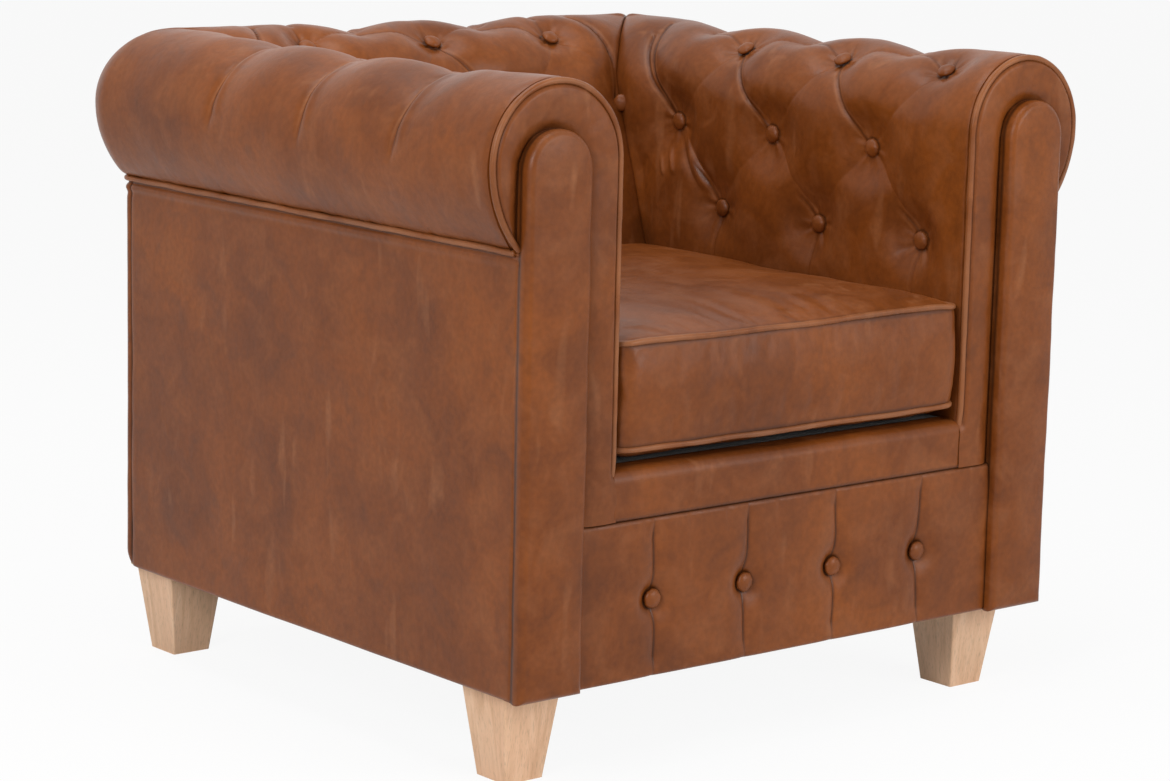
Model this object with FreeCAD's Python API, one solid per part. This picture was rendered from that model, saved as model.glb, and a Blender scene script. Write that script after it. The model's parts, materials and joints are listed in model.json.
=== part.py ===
import FreeCAD, Part
import math
import os

# Chesterfield armchair, millimetres. Origin on the floor under the middle of the outer box.
# +X points to the viewer's right when facing the chair, +Y to its back, +Z up.
# "right" in a name is the +X side, "left" the -X side. Right-hand pieces are drawn, left ones mirrored.

# Outer sizes
body_half_width = 367.0       # centre line to the outside of a side panel
body_depth = 723.0            # front of the raised panels to the outside back
overall_height = 700.0        # floor to the top of the rolls
base_height = 97.0            # floor to the lower edge of the leather
roll_overhang = 35.0          # how far a roll stands out past the panel under it
roll_radius = 81.0
roll_drop = 84.0              # roll's centre down to where it meets the panel under it

# Seat
seat_depth = 519.0            # front of the border to the back at cushion level
back_kink_height = 430.0      # below this the inside back is upright, above it leans
deck_height = 312.0
cushion_lift = 18.0           # deck up to the lower piping of the cushion
cushion_boxing = 107.0        # height of the cushion between its two pipings
cushion_crown_top = 14.0
cushion_crown_bottom = 17.4
cushion_front_bulge = 5.0
cushion_gap = 1.5             # cushion to arms and back
cushion_end_draw = 8.4        # front and rear drawn in at the cushion's ends
cushion_wall = 3.0            # leather and fibre wrap
core_gap = 0.4

# Front
panel_width = 79.0            # raised panel on each arm front
panel_thickness = 14.0
panel_arch_drop = 48.0        # top of the rolls down to the top of the arch
panel_edge_radius = 8.0
front_pad = 14.0              # facing, band and border over the boards
border_seam_height = 261.0
band_edge_radius = 14.0
border_button_height = 176.0
border_button_pitch = 124.0
border_button_count = 4
border_pleat_depth = 6.0
border_edge_sink = 1.5        # the most a pleat sinks at the seam and at the lower edge
border_end_sink = 2.0
border_swell_sink = 0.5
facing_piping_drop = 5.0      # deck down to where the facing's piping ends beside the band

# Buttoned covers
cover_thickness = 22.0        # wadding and leather over the foam, at the top of a puff
side_cover = 4.0              # outside panels
button_radius = 10.0
button_height = 7.0
button_edge = 2.45            # straight rim under a button's dome
button_seat = 10.5            # half the flat that a button sits on
tuft_depth_roll = 13.0
tuft_depth_face = 17.0
crease_depth = 8.0
crease_puff = 3.0             # height lost by a puff where a crease crosses it
valley_depth = 10.0
valley_end = 106.0            # distance along the cover where the valleys over the roll end
crest_turn = 118.0            # degrees round the roll to the middle of its outer puffs
foot_sink_button = 6.0        # how far the cover is drawn in at the seat under a low button
foot_sink_between = 1.5
low_puff_sink = 3.5
puff_pinch = 1.0
end_crease = 2.5
end_puff = 2.0
row_high = 82.0               # distance along the cover from the roll's centre level
row_low_rise = 65.0           # kink of the inside back up to the low row
row_middle_shift = 10.0       # middle row below half way between the other two
arm_button_pitch = 160.0
arm_button_first = 71.0       # first button of the high row behind the front of the boards
arm_button_count = 3
back_button_pitch = 174.0
back_button_count = 3
cover_bottom_height = 285.0
corner_tuft_depth = 6.0
corner_puff_sink = 0.5
corner_button_rise = 14.0     # corner buttons above the middle row

# Frame
board = 18.0                  # plywood thickness
timber = 25.0
post_width = 35.0
post_depth = 40.0
side_rail_height = 100.0
tack_rail_height = 35.0
top_rail_drop = 54.0          # roll's centre down to the top rails
foam_slab = 27.7
lining = 3.0                  # hardboard behind the inside foam
frame_lift = 2.0              # underside of the frame above the leather's edge
dust_cover = 1.5
dust_margin = 1.0             # dust cover to legs
corner_radius = 22.0          # outside back corners of the panels, seen from above
roll_corner_radius = 60.0     # outside back corners of the rolls at their widest
corner_slices = 10

# Legs
leg_top = 72.0
leg_foot = 47.0
leg_side_inset = 18.0
leg_front_inset = 45.6
leg_back_inset = 5.0
leg_edge_radius = 2.0
leg_block = 76.0
leg_block_height = 40.0
bolt_radius = 4.0
bolt_clearance = 0.2
bolt_in_leg = 40.0
bolt_hole_spare = 2.0
bolt_below_block = 1.0        # top of a bolt under the top of its block
tee_nut_flange = 11.0
tee_nut_flange_height = 1.8
tee_nut_barrel = 5.4
tee_nut_length = 12.0

# Springs
spring_count = 5
spring_pitch = 90.0
spring_wire = 1.9
spring_half_width = 23.0
spring_runs = 24
clip_base = 1.2
clip_length = 14.0
clip_tail = 3.0               # base past the eye, where it is nailed
clip_clearance = 0.2
sheet = 2.0                   # hessian over the springs
deck_cloth = 1.5

# Pipings
piping_radius = 3.2
cushion_piping_radius = 3.0
welt_radius = 3.0
cushion_corner_radius = 24.0

# Zip
zip_end_gap = 48.5            # end of the zip to the end of the cushion
zip_tape_height = 24.0
zip_tape = 1.0
zip_coil_height = 6.0
zip_coil = 1.6
zip_margin = 1.0
slider_length = 12.0
slider_skin = 1.2
slider_clearance = 0.4
zip_recess = 7.0

gap = 0.3                     # between pieces whose curved faces lie together
past = 1.0                    # how far a cutting shape runs past what it cuts
near = 0.01

# Worked out from the sizes above
back_y = (body_depth - roll_overhang) / 2
front_y = back_y - body_depth
border_y = front_y + panel_thickness
board_y = border_y + front_pad
frame_y = board_y + board
frame_x = body_half_width - side_cover
frame_back_y = back_y - side_cover
frame_z = base_height + frame_lift
roll_z = overall_height - roll_radius
roll_junction_height = roll_z - roll_drop
panel_arch_top = overall_height - panel_arch_drop
arm_roll_x = body_half_width + roll_overhang - roll_radius
back_roll_y = back_y + roll_overhang - roll_radius
arm_face_x = arm_roll_x - roll_radius
back_face_y = border_y + seat_depth
base_radius = roll_radius - cover_thickness
arm_base_x = arm_face_x + cover_thickness
slab_x = arm_base_x + foam_slab + gap
lining_x = slab_x + lining
rail_top = roll_z - top_rail_drop
top_rail_height = rail_top - timber
core_half_flat = math.sqrt(base_radius ** 2 - (rail_top - roll_z) ** 2)
panel_inner_x = body_half_width - panel_width
side_rail_x = frame_x - timber
rear_rail_y = frame_back_y - timber
spring_z = border_seam_height + clip_base + clip_clearance + spring_wire
sheet_z = spring_z + spring_wire + clip_clearance + clip_base
deck_foam_z = sheet_z + sheet
deck_cloth_z = deck_height - deck_cloth
cushion_edge_low = deck_height + cushion_lift
cushion_edge_high = cushion_edge_low + cushion_boxing
facing_piping_end = deck_height - facing_piping_drop
row_low = back_kink_height + row_low_rise - roll_z
row_middle = (row_high + row_low) / 2 - row_middle_shift
leg_x = body_half_width - leg_side_inset - leg_top / 2
leg_front_y = front_y + leg_front_inset + leg_top / 2
leg_back_y = back_y - leg_back_inset - leg_top / 2
block_x = side_rail_x - leg_block
block_z = frame_z + leg_block_height
nut_z = block_z - tee_nut_flange_height
piping_y = border_y + piping_radius
step_y = piping_y + piping_radius + gap

X = FreeCAD.Vector(1, 0, 0)
Y = FreeCAD.Vector(0, 1, 0)
Z = FreeCAD.Vector(0, 0, 1)
ORIGIN = FreeCAD.Vector(0, 0, 0)

os.makedirs("parts", exist_ok=True)


def at(x, y, z):
    return FreeCAD.Vector(x, y, z)


def box(x0, x1, y0, y1, z0, z1):
    return Part.makeBox(x1 - x0, y1 - y0, z1 - z0, at(x0, y0, z0))


def rod(radius, start, end):
    along = end - start
    return Part.makeCylinder(radius, along.Length, start, along)


def line(a, b):
    return Part.LineSegment(a, b).toShape()


def arc(a, middle, b):
    return Part.Arc(a, middle, b).toShape()


def prism(points, along):
    closed = points + [points[0]]
    return Part.Face(Part.makePolygon(closed)).extrude(along)


def other_side(shape):
    return shape.mirror(ORIGIN, X)


def save(name, *solids):
    shape = solids[0] if len(solids) == 1 else Part.makeCompound(list(solids))
    shape.exportStep("parts/" + name + ".step")


def save_pair(name, *solids):
    save(name + "_right", *solids)
    save(name + "_left", *[other_side(solid) for solid in solids])


def save_both(name, *solids):
    """Both sides' pieces in one node."""
    save(name, *solids, *[other_side(solid) for solid in solids])


class Section:
    """Section across an arm or the back: a roll, and below it the face towards the seat.

    h is the distance outwards, x for an arm and y for the back. s runs along the cover from
    the level of the roll's centre, up over the roll and down the face."""

    def __init__(self, roll_h, panel_h, face_h, place):
        self.roll_h = roll_h
        self.panel_h = panel_h
        self.face_h = face_h
        self.place = place
        inward = roll_h - face_h
        height = roll_z - back_kink_height
        self.lean = math.atan2(inward, height) - math.asin(roll_radius / math.hypot(inward, height))
        self.touch = roll_radius * self.lean

    def outline(self, s, depth):
        """Point (h, z) at s along the cover, sunk by depth."""
        if s >= self.touch:
            turn = s / roll_radius
            reach = roll_radius - depth
            return self.roll_h - reach * math.cos(turn), roll_z + reach * math.sin(turn)
        down = self.touch - s
        reach = roll_radius - depth
        h = self.roll_h - reach * math.cos(self.lean) - down * math.sin(self.lean)
        z = roll_z + reach * math.sin(self.lean) - down * math.cos(self.lean)
        return h, z

    def at(self, s, depth, station):
        h, z = self.outline(s, depth)
        return self.place(h, station, z)

    def kink(self, depth, station):
        shift = depth * math.tan(self.lean / 2)
        return self.place(self.face_h + depth, station, back_kink_height - shift)

    def wire(self, kind, station):
        """Closed outline of the cover at one station: kind holds ends, middles and depths."""
        put = self.place
        low_radius = low_roll_radius()
        outer_h = self.panel_h + roll_overhang
        turn = math.asin((roll_z - roll_junction_height) / low_radius) / 2
        low_middle = (outer_h - low_radius * (1 - math.cos(turn)), roll_z - low_radius * math.sin(turn))
        junction = put(self.panel_h, station, roll_junction_height)
        outer = put(outer_h, station, roll_z)
        edges = [arc(junction, put(low_middle[0], station, low_middle[1]), outer)]
        start = outer
        for middle_s, middle_depth, end_s, end_depth in kind["spans"]:
            end = self.at(end_s, end_depth, station)
            edges.append(arc(start, self.at(middle_s, middle_depth, station), end))
            start = end
        kink = self.kink(kind["kink"], station)
        foot = put(self.face_h + kind["kink"], station, cover_bottom_height)
        edges.append(line(start, kink))
        edges.append(line(kink, foot))
        base_foot = put(self.face_h + cover_thickness, station, cover_bottom_height)
        base_kink = self.kink(cover_thickness, station)
        base_touch = self.at(self.touch, cover_thickness, station)
        base_top = put(self.roll_h, station, roll_z + base_radius)
        base_end = put(self.roll_h + core_half_flat, station, rail_top)
        turn_in = (self.lean + math.pi / 2) / 2
        first_middle = self.at(turn_in * roll_radius, cover_thickness, station)
        turn_out = (math.pi / 2 + math.asin((rail_top - roll_z) / base_radius)) / 2
        second_middle = put(self.roll_h + base_radius * math.cos(turn_out), station,
                            roll_z + base_radius * math.sin(turn_out))
        ledge = put(self.roll_h + core_half_flat, station, roll_junction_height)
        edges.append(line(foot, base_foot))
        edges.append(line(base_foot, base_kink))
        edges.append(line(base_kink, base_touch))
        edges.append(arc(base_touch, first_middle, base_top))
        edges.append(arc(base_top, second_middle, base_end))
        edges.append(line(base_end, ledge))
        edges.append(line(ledge, junction))
        return Part.Wire(edges)

    def band(self, near, far, low, high, start, end):
        """Slab that follows the face between two depths, from station start to end."""
        def corner(depth, z):
            shift = (z - back_kink_height) * math.tan(self.lean)
            return self.face_h + depth / math.cos(self.lean) + shift, z
        def bend(depth):
            return self.face_h + depth, back_kink_height - depth * math.tan(self.lean / 2)
        profile = [(self.face_h + near, low), bend(near), corner(near, high),
                   corner(far, high), bend(far), (self.face_h + far, low)]
        points = [self.place(h, start, z) for h, z in profile]
        return prism(points, self.place(0, end - start, 0))


arm = Section(arm_roll_x, body_half_width, arm_face_x, lambda h, station, z: at(h, station, z))
back = Section(back_roll_y, back_y, back_face_y, lambda h, station, z: at(station, h, z))

# Kinds of station along a buttoned cover. Each span is middle s, middle depth, end s, end depth.
crest = roll_radius * math.radians(crest_turn)


def high_button_station():
    return {"kink": foot_sink_button, "spans": [
        (crest, 0.0, row_high + button_seat, tuft_depth_roll),
        (row_high, tuft_depth_roll + gap, row_high - button_seat, tuft_depth_roll),
        (row_middle, 0.0, row_low + button_seat, tuft_depth_face),
        (row_low, tuft_depth_face + gap, row_low - button_seat, tuft_depth_face)]}


def middle_button_station():
    low_end = row_low - 3 * button_seat
    return {"kink": foot_sink_between, "spans": [
        (crest, valley_depth, valley_end, crease_depth),
        ((valley_end + row_middle) / 2, 0.0, row_middle + button_seat, tuft_depth_face),
        (row_middle, tuft_depth_face + gap, row_middle - button_seat, tuft_depth_face),
        ((row_middle + row_low) / 2 - button_seat, low_puff_sink, low_end, low_puff_sink)]}


def between_station(crease, puff):
    high = (row_high + button_seat + valley_end) / 2
    upper = (row_high + row_middle) / 2
    lower = (row_middle + row_low) / 2
    low_end = row_low - 2 * button_seat
    return {"kink": (crease + puff) / 2, "spans": [
        (crest, puff, high, crease),
        ((high + upper) / 2, puff, upper, crease),
        ((upper + lower) / 2, puff, lower, crease),
        ((lower + low_end) / 2, puff, low_end, puff + puff_pinch)]}


def cover(section, stations):
    wires = [section.wire(kind, place) for place, kind in stations]
    return Part.makeLoft(wires, True, True)


def buttoned_run(places):
    """Stations either side of each button column, with creases half way between columns."""
    run = []
    for index, (place, high) in enumerate(places):
        if index:
            half_way = (places[index - 1][0] + place) / 2
            run.append((half_way, between_station(crease_depth, crease_puff)))
        kind = high_button_station() if high else middle_button_station()
        run.append((place - button_seat, kind))
        run.append((place + button_seat, kind))
    return run


def columns(first, pitch, count):
    """Button columns in turn: high and low row together, then the middle row half a pitch on."""
    places = []
    for index in range(count):
        places.append((first + index * pitch, True))
        places.append((first + (index + 0.5) * pitch, False))
    return places


arm_columns = columns(board_y + arm_button_first, arm_button_pitch, arm_button_count)
back_columns = columns(-back_button_pitch * (back_button_count - 1) / 2, back_button_pitch,
                       back_button_count)[:-1]

plain_end = between_station(end_crease, end_puff)
corner_end = between_station(corner_tuft_depth + puff_pinch, corner_tuft_depth)
corner_puff = between_station(crease_puff, corner_puff_sink)
corner_y = back_roll_y - roll_radius
past_corner = body_half_width + roll_overhang + button_radius


def mitre(side):
    """Room beyond the seam between an arm and the back, seen from the arm. side is 1 or -1."""
    top = back_roll_y - arm_roll_x
    low = back_face_y - arm_face_x
    touch_z = back.outline(back.touch, 0)[1]
    far = 2 * body_depth
    profile = [(low, 0), (low, back_kink_height), (top, touch_z), (top, overall_height + far),
               (far, overall_height + far), (far, 0)]
    points = [at(side * (-t / 2 - far), t / 2 - far, z) for t, z in profile]
    return prism(points, at(side * 3 * far, 3 * far, 0))


behind_right = mitre(1)
behind_left = mitre(-1)


def behind_both(shape):
    return shape.common(behind_right).common(behind_left)


def button(seat, normal):
    """Covered button: a dome on a short straight edge, its flat base at seat."""
    dome = button_height - button_edge
    ball = (button_radius ** 2 + dome ** 2) / (2 * dome)
    side = line(at(button_radius, 0, 0), at(button_radius, 0, button_edge))
    turn = math.asin(button_radius / ball) / 2
    middle = at(ball * math.sin(turn), 0, button_height - ball * (1 - math.cos(turn)))
    crown = arc(at(button_radius, 0, button_edge), middle, at(0, 0, button_height))
    foot = line(ORIGIN, at(button_radius, 0, 0))
    axis = line(at(0, 0, button_height), ORIGIN)
    solid = Part.Face(Part.Wire([foot, side, crown, axis])).revolve(ORIGIN, Z, 360)
    solid.Placement = FreeCAD.Placement(seat, FreeCAD.Rotation(Z, normal))
    return solid


def row_buttons(section, places):
    """Buttons of a cover, seated on the flats of its tufts."""
    solids = []
    for place, high in places:
        for s in ((row_high, row_low) if high else (row_middle,)):
            depth = tuft_depth_roll if s == row_high else tuft_depth_face
            seat = section.at(s, depth, place)
            normal = section.at(s, depth - past, place) - seat
            normal.normalize()
            if s == row_high:
                sag = (roll_radius - depth) * (1 - math.cos(button_seat / roll_radius))
                seat = seat - normal * (sag - gap)
            solids.append(button(seat, normal))
    return solids


# Buttoned covers over the arms and the back
arm_stations = [(board_y, plain_end)] + buttoned_run(arm_columns)
last = arm_columns[-1][0] + button_seat
arm_stations += [((last + corner_y) / 2, corner_puff), (corner_y, corner_end),
                 (back_y + roll_overhang + button_radius, corner_end)]
corner_x = arm_face_x
back_run = buttoned_run(back_columns)
puff_x = (back_columns[-1][0] + button_seat + corner_x) / 2
back_stations = [(-past_corner, corner_end), (-corner_x, corner_end), (-puff_x, corner_puff)]
back_stations += back_run
back_stations += [(puff_x, corner_puff), (corner_x, corner_end), (past_corner, corner_end)]


def low_roll_radius():
    """Radius of the roll's outline from its widest point in to the junction with the panel."""
    drop = roll_z - roll_junction_height
    return (roll_overhang ** 2 + drop ** 2) / (2 * roll_overhang)


def outer_reach(z):
    """How far a roll reaches outside its centre line at height z."""
    if z >= roll_z:
        return math.sqrt(max(roll_radius ** 2 - (z - roll_z) ** 2, 0.0))
    radius = low_roll_radius()
    return roll_radius - radius + math.sqrt(radius ** 2 - (roll_z - z) ** 2)


def corner_waste():
    """What the rounded back corner of the rolls leaves out of their square mitre."""
    narrow = outer_reach(roll_junction_height)
    low = roll_junction_height - gap
    step = (overall_height + past - low) / corner_slices
    wires = []
    for index in range(corner_slices + 1):
        z = low + index * step
        reach = outer_reach(max(z, roll_junction_height))
        if z < roll_z:
            share = (reach - narrow) / (roll_radius - narrow)
            radius = corner_radius + (roll_corner_radius - corner_radius) * share
        else:
            radius = max(roll_corner_radius * reach / roll_radius, panel_edge_radius)
        x = arm_roll_x + reach + past
        y = back_roll_y + reach + past
        k = radius * (1 - math.sqrt(0.5))
        inner_x = arm_roll_x - roll_radius
        inner_y = back_roll_y - roll_radius
        wires.append(Part.Wire([
            line(at(inner_x, inner_y, z), at(x, inner_y, z)),
            line(at(x, inner_y, z), at(x, y - radius, z)),
            arc(at(x, y - radius, z), at(x - k, y - k, z), at(x - radius, y, z)),
            line(at(x - radius, y, z), at(inner_x, y, z)),
            line(at(inner_x, y, z), at(inner_x, inner_y, z))]))
    kept = Part.makeLoft(wires, True, True)
    far = 2 * roll_radius
    return box(arm_roll_x, arm_roll_x + far, back_roll_y, back_roll_y + far, low, overall_height).cut(kept)


def welt(radius):
    """Piping under the rolls: along one side, round the back and along the other side."""
    z = roll_junction_height
    k = corner_radius * (1 - math.sqrt(0.5))
    side = [(body_half_width, step_y + gap), (body_half_width, back_y - corner_radius),
            (body_half_width - k, back_y - k), (body_half_width - corner_radius, back_y)]
    p = [at(px, py, z) for px, py in side]
    q = [at(-px, py, z) for px, py in side]
    path = Part.Wire([line(p[0], p[1]), arc(p[1], p[2], p[3]), line(p[3], q[3]), arc(q[3], q[2], q[1]),
                      line(q[1], q[0])])
    return path.makePipeShell([Part.Wire(Part.makeCircle(radius, p[0], Y))], True, False)


corner_h, corner_z = back.outline(row_middle + corner_button_rise, corner_tuft_depth)
corner_out = at(-1, -1, 0)
corner_out.normalize()
corner_seat = at(arm_face_x + corner_tuft_depth, corner_h, corner_z) + corner_out * (button_radius / 2)
corner_pocket = rod(button_radius + gap, corner_seat - corner_out * gap,
                    corner_seat + corner_out * 3 * button_radius)
groove = welt(welt_radius + gap)
waste = corner_waste()

arm_cover = cover(arm, arm_stations).cut([behind_right, groove, corner_pocket, waste])
save_pair("arm_cover", arm_cover)
back_cover = behind_both(cover(back, back_stations))
back_cover = back_cover.cut([groove, waste, other_side(waste), corner_pocket, other_side(corner_pocket)])
save("back_cover", back_cover)
save("roll_welt", welt(welt_radius))

save_pair("arm_buttons", *row_buttons(arm, arm_columns))
save("back_buttons", *row_buttons(back, back_columns))
corner_button = button(corner_seat, corner_out)
save_both("corner_buttons", corner_button)

# Foam under the covers
arm_core = rod(base_radius - gap, at(arm_roll_x, frame_y, roll_z),
               at(arm_roll_x, back_y + roll_overhang, roll_z))
arm_core = arm_core.cut(box(0, 2 * body_half_width, front_y, 2 * back_y, 0, rail_top)).cut(behind_right)
save_pair("arm_roll_foam", arm_core)
back_core = rod(base_radius - gap, at(-past_corner, back_roll_y, roll_z),
                at(past_corner, back_roll_y, roll_z))
back_core = behind_both(back_core.cut(box(-past_corner, past_corner, 0, 2 * back_y, 0, rail_top)))
save("back_roll_foam", back_core)

back_rail_y = back_face_y + (cover_thickness + foam_slab + gap + lining) / math.cos(back.lean) + (
    rail_top - back_kink_height) * math.tan(back.lean)
arm_top_rail = box(lining_x, arm_roll_x + core_half_flat - gap, frame_y, back_rail_y,
                   top_rail_height, rail_top)
arm_top_rails = [arm_top_rail, other_side(arm_top_rail)]
slab_depth = cover_thickness + gap
slab_back = slab_depth + foam_slab
arm_slab = arm.band(slab_depth, slab_back, cover_bottom_height, roll_z, frame_y, back_roll_y)
arm_slab = arm_slab.cut(rod(base_radius + gap, at(arm_roll_x, front_y, roll_z),
                            at(arm_roll_x, 2 * back_y, roll_z)))
save_both("arm_inside_foam", arm_slab.cut(behind_right))
back_slab = back.band(slab_depth, slab_back, cover_bottom_height, roll_z, -arm_roll_x, arm_roll_x)
back_slab = back_slab.cut(rod(base_radius + gap, at(-past_corner, back_roll_y, roll_z),
                              at(past_corner, back_roll_y, roll_z)))
save("back_inside_foam", behind_both(back_slab).cut(arm_top_rails))

arm_lining = arm.band(slab_back, slab_back + lining, cover_bottom_height, rail_top, frame_y, back_roll_y)
save_both("arm_linings", arm_lining.cut(behind_right))
back_lining = back.band(slab_back, slab_back + lining, cover_bottom_height, rail_top, -arm_roll_x, arm_roll_x)

# Timber frame
board_outline = box(arm_base_x, frame_x, board_y, frame_y, frame_z, roll_junction_height)
board_neck = box(arm_base_x + gap, arm_roll_x + core_half_flat, board_y, frame_y,
                 roll_junction_height, roll_z)
board_head = rod(base_radius - gap, at(arm_roll_x, board_y, roll_z), at(arm_roll_x, frame_y, roll_z))
save_pair("arm_front_board", board_outline.fuse([board_neck, board_head]).removeSplitter())

save("arm_top_rails", *arm_top_rails)
save("back_lining", behind_both(back_lining).cut(arm_top_rails))
save_both("arm_tack_rails", box(lining_x, lining_x + timber, frame_y, rear_rail_y - post_depth,
                               cover_bottom_height, cover_bottom_height + tack_rail_height))
save("back_top_rail", box(-arm_roll_x - core_half_flat + gap, arm_roll_x + core_half_flat - gap, back_rail_y,
                          back_roll_y + core_half_flat - gap, top_rail_height, rail_top))
back_tack_y = back_face_y + slab_back + lining
save("back_tack_rail", box(-lining_x, lining_x, back_tack_y, back_tack_y + timber,
                           cover_bottom_height, cover_bottom_height + tack_rail_height))
save_both("rear_posts", box(side_rail_x - post_width, side_rail_x, rear_rail_y - post_depth, rear_rail_y,
                           block_z, top_rail_height))

side_rail = box(side_rail_x, frame_x, frame_y, frame_back_y, frame_z, frame_z + side_rail_height)
rear_edge = [edge for edge in side_rail.Edges
             if abs(edge.CenterOfMass.x - frame_x) < near and abs(edge.CenterOfMass.y - frame_back_y) < near]
save_pair("seat_rail", side_rail.makeFillet(corner_radius - side_cover, rear_edge))
save("seat_rail_front", box(-arm_base_x, arm_base_x, board_y, frame_y, frame_z, border_seam_height))
save("seat_rail_rear", box(-side_rail_x, side_rail_x, rear_rail_y, frame_back_y, frame_z, border_seam_height))


# Legs, their blocks and bolts
def leg(x, y):
    def square(half, z):
        return Part.makePolygon([at(x + dx * half, y + dy * half, z)
                                 for dx, dy in ((-1, -1), (1, -1), (1, 1), (-1, 1), (-1, -1))])
    solid = Part.makeLoft([square(leg_foot / 2, 0), square(leg_top / 2, frame_z)], True, True)
    uprights = [edge for edge in solid.Edges if abs(edge.BoundBox.ZLength - frame_z) < near]
    solid = solid.makeFillet(leg_edge_radius, uprights)
    hole_z = frame_z - bolt_in_leg - bolt_hole_spare
    return solid.cut(rod(bolt_radius + bolt_clearance, at(x, y, hole_z), at(x, y, frame_z)))


def leg_block_at(x, y, y0, y1):
    solid = box(block_x, side_rail_x, y0, y1, frame_z, block_z)
    hole = rod(bolt_radius + bolt_clearance, at(x, y, frame_z), at(x, y, block_z))
    barrel = rod(tee_nut_barrel + bolt_clearance, at(x, y, nut_z - tee_nut_length), at(x, y, block_z))
    recess = rod(tee_nut_flange + bolt_clearance, at(x, y, nut_z), at(x, y, block_z))
    return solid.cut([hole, barrel, recess])


def bolt(x, y):
    return rod(bolt_radius, at(x, y, frame_z - bolt_in_leg), at(x, y, block_z - bolt_below_block))


def tee_nut(x, y):
    flange = rod(tee_nut_flange, at(x, y, nut_z), at(x, y, block_z))
    barrel = rod(tee_nut_barrel, at(x, y, nut_z - tee_nut_length), at(x, y, nut_z))
    hole = rod(bolt_radius + bolt_clearance, at(x, y, nut_z - tee_nut_length), at(x, y, block_z))
    return flange.fuse(barrel).cut(hole)


save_pair("leg_front", leg(leg_x, leg_front_y))
save_pair("leg_rear", leg(leg_x, leg_back_y))
front_block = leg_block_at(leg_x, leg_front_y, frame_y, frame_y + leg_block)
rear_block = leg_block_at(leg_x, leg_back_y, rear_rail_y - leg_block, rear_rail_y)
save_both("leg_blocks", front_block, rear_block)
corners = [(side * leg_x, y) for side in (-1, 1) for y in (leg_front_y, leg_back_y)]
save("leg_bolts", *[bolt(x, y) for x, y in corners])
save("leg_tee_nuts", *[tee_nut(x, y) for x, y in corners])

# Springs, clips and seat deck
spring_front_y = (board_y + frame_y) / 2
spring_back_y = (rear_rail_y + frame_back_y) / 2
run_pitch = (spring_back_y - spring_front_y) / (spring_runs - 1)


def spring(x):
    turn = run_pitch / 2
    straight = spring_half_width - turn
    edges = []
    for index in range(spring_runs):
        y = spring_front_y + index * run_pitch
        side = 1 if index % 2 == 0 else -1
        start = at(x - side * straight, y, spring_z)
        end = at(x + side * straight, y, spring_z)
        edges.append(line(start, end))
        if index < spring_runs - 1:
            reach = at(x + side * spring_half_width, y + turn, spring_z)
            edges.append(arc(end, reach, end + Y * run_pitch))
    path = Part.Wire(edges)
    ring = Part.Wire(Part.makeCircle(spring_wire, at(x - straight, spring_front_y, spring_z), X))
    return path.makePipeShell([ring], True, False)


def clip(x, y):
    """Folded clip: a base on the rail and an eye around the end run of a spring."""
    half = clip_length / 2
    eye = spring_wire + clip_clearance
    outer = eye + clip_base
    base = box(x - half, x + half, y - outer - clip_tail, y + outer, border_seam_height,
               border_seam_height + clip_base)
    loop = rod(outer, at(x - half, y, spring_z), at(x + half, y, spring_z))
    under = box(x - half, x + half, y - outer, y + outer, border_seam_height, spring_z)
    hole = rod(eye, at(x - half, y, spring_z), at(x + half, y, spring_z))
    return base.fuse([loop, under]).cut(hole)


spring_places = [(index - (spring_count - 1) / 2) * spring_pitch for index in range(spring_count)]
save("seat_springs", *[spring(x) for x in spring_places])
save("spring_clips", *[clip(x, y) for x in spring_places for y in (spring_front_y, spring_back_y)])
save("spring_sheet", box(-arm_face_x, arm_face_x, board_y, frame_back_y, sheet_z, deck_foam_z))
deck_half = arm_face_x - gap
deck_end = back_face_y - gap
save("deck_foam", box(-deck_half, deck_half, frame_y, deck_end, deck_foam_z, deck_cloth_z))
save("deck_cloth", box(-deck_half, deck_half, frame_y, deck_end, deck_cloth_z, deck_height))

# Front: band, border, facings, raised panels
band_arc = band_edge_radius * (1 - math.sqrt(0.5))
band_profile = Part.Wire([
    line(at(0, border_y, border_seam_height), at(0, border_y, deck_height - band_edge_radius)),
    arc(at(0, border_y, deck_height - band_edge_radius),
        at(0, border_y + band_arc, deck_height - band_arc),
        at(0, border_y + band_edge_radius, deck_height)),
    line(at(0, border_y + band_edge_radius, deck_height), at(0, frame_y, deck_height)),
    line(at(0, frame_y, deck_height), at(0, frame_y, deck_foam_z)),
    line(at(0, frame_y, deck_foam_z), at(0, board_y, deck_foam_z)),
    line(at(0, board_y, deck_foam_z), at(0, board_y, border_seam_height)),
    line(at(0, board_y, border_seam_height), at(0, border_y, border_seam_height))])
band = Part.Face(band_profile).extrude(X * (2 * arm_face_x - 2 * gap))
band.translate(at(-arm_face_x + gap, 0, 0))
save("front_band", band)


def border_wire(x, sink):
    """Section of the border at x, its middle sunk below the front."""
    edge_y = border_y + min(sink, border_edge_sink)
    top = at(x, edge_y, border_seam_height)
    bottom = at(x, edge_y, base_height)
    middle_y = border_y + (sink if sink > border_edge_sink else sink - gap)
    front = arc(top, at(x, middle_y, border_button_height), bottom)
    return Part.Wire([front, line(bottom, at(x, board_y, base_height)),
                      line(at(x, board_y, base_height), at(x, board_y, border_seam_height)),
                      line(at(x, board_y, border_seam_height), top)])


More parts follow.
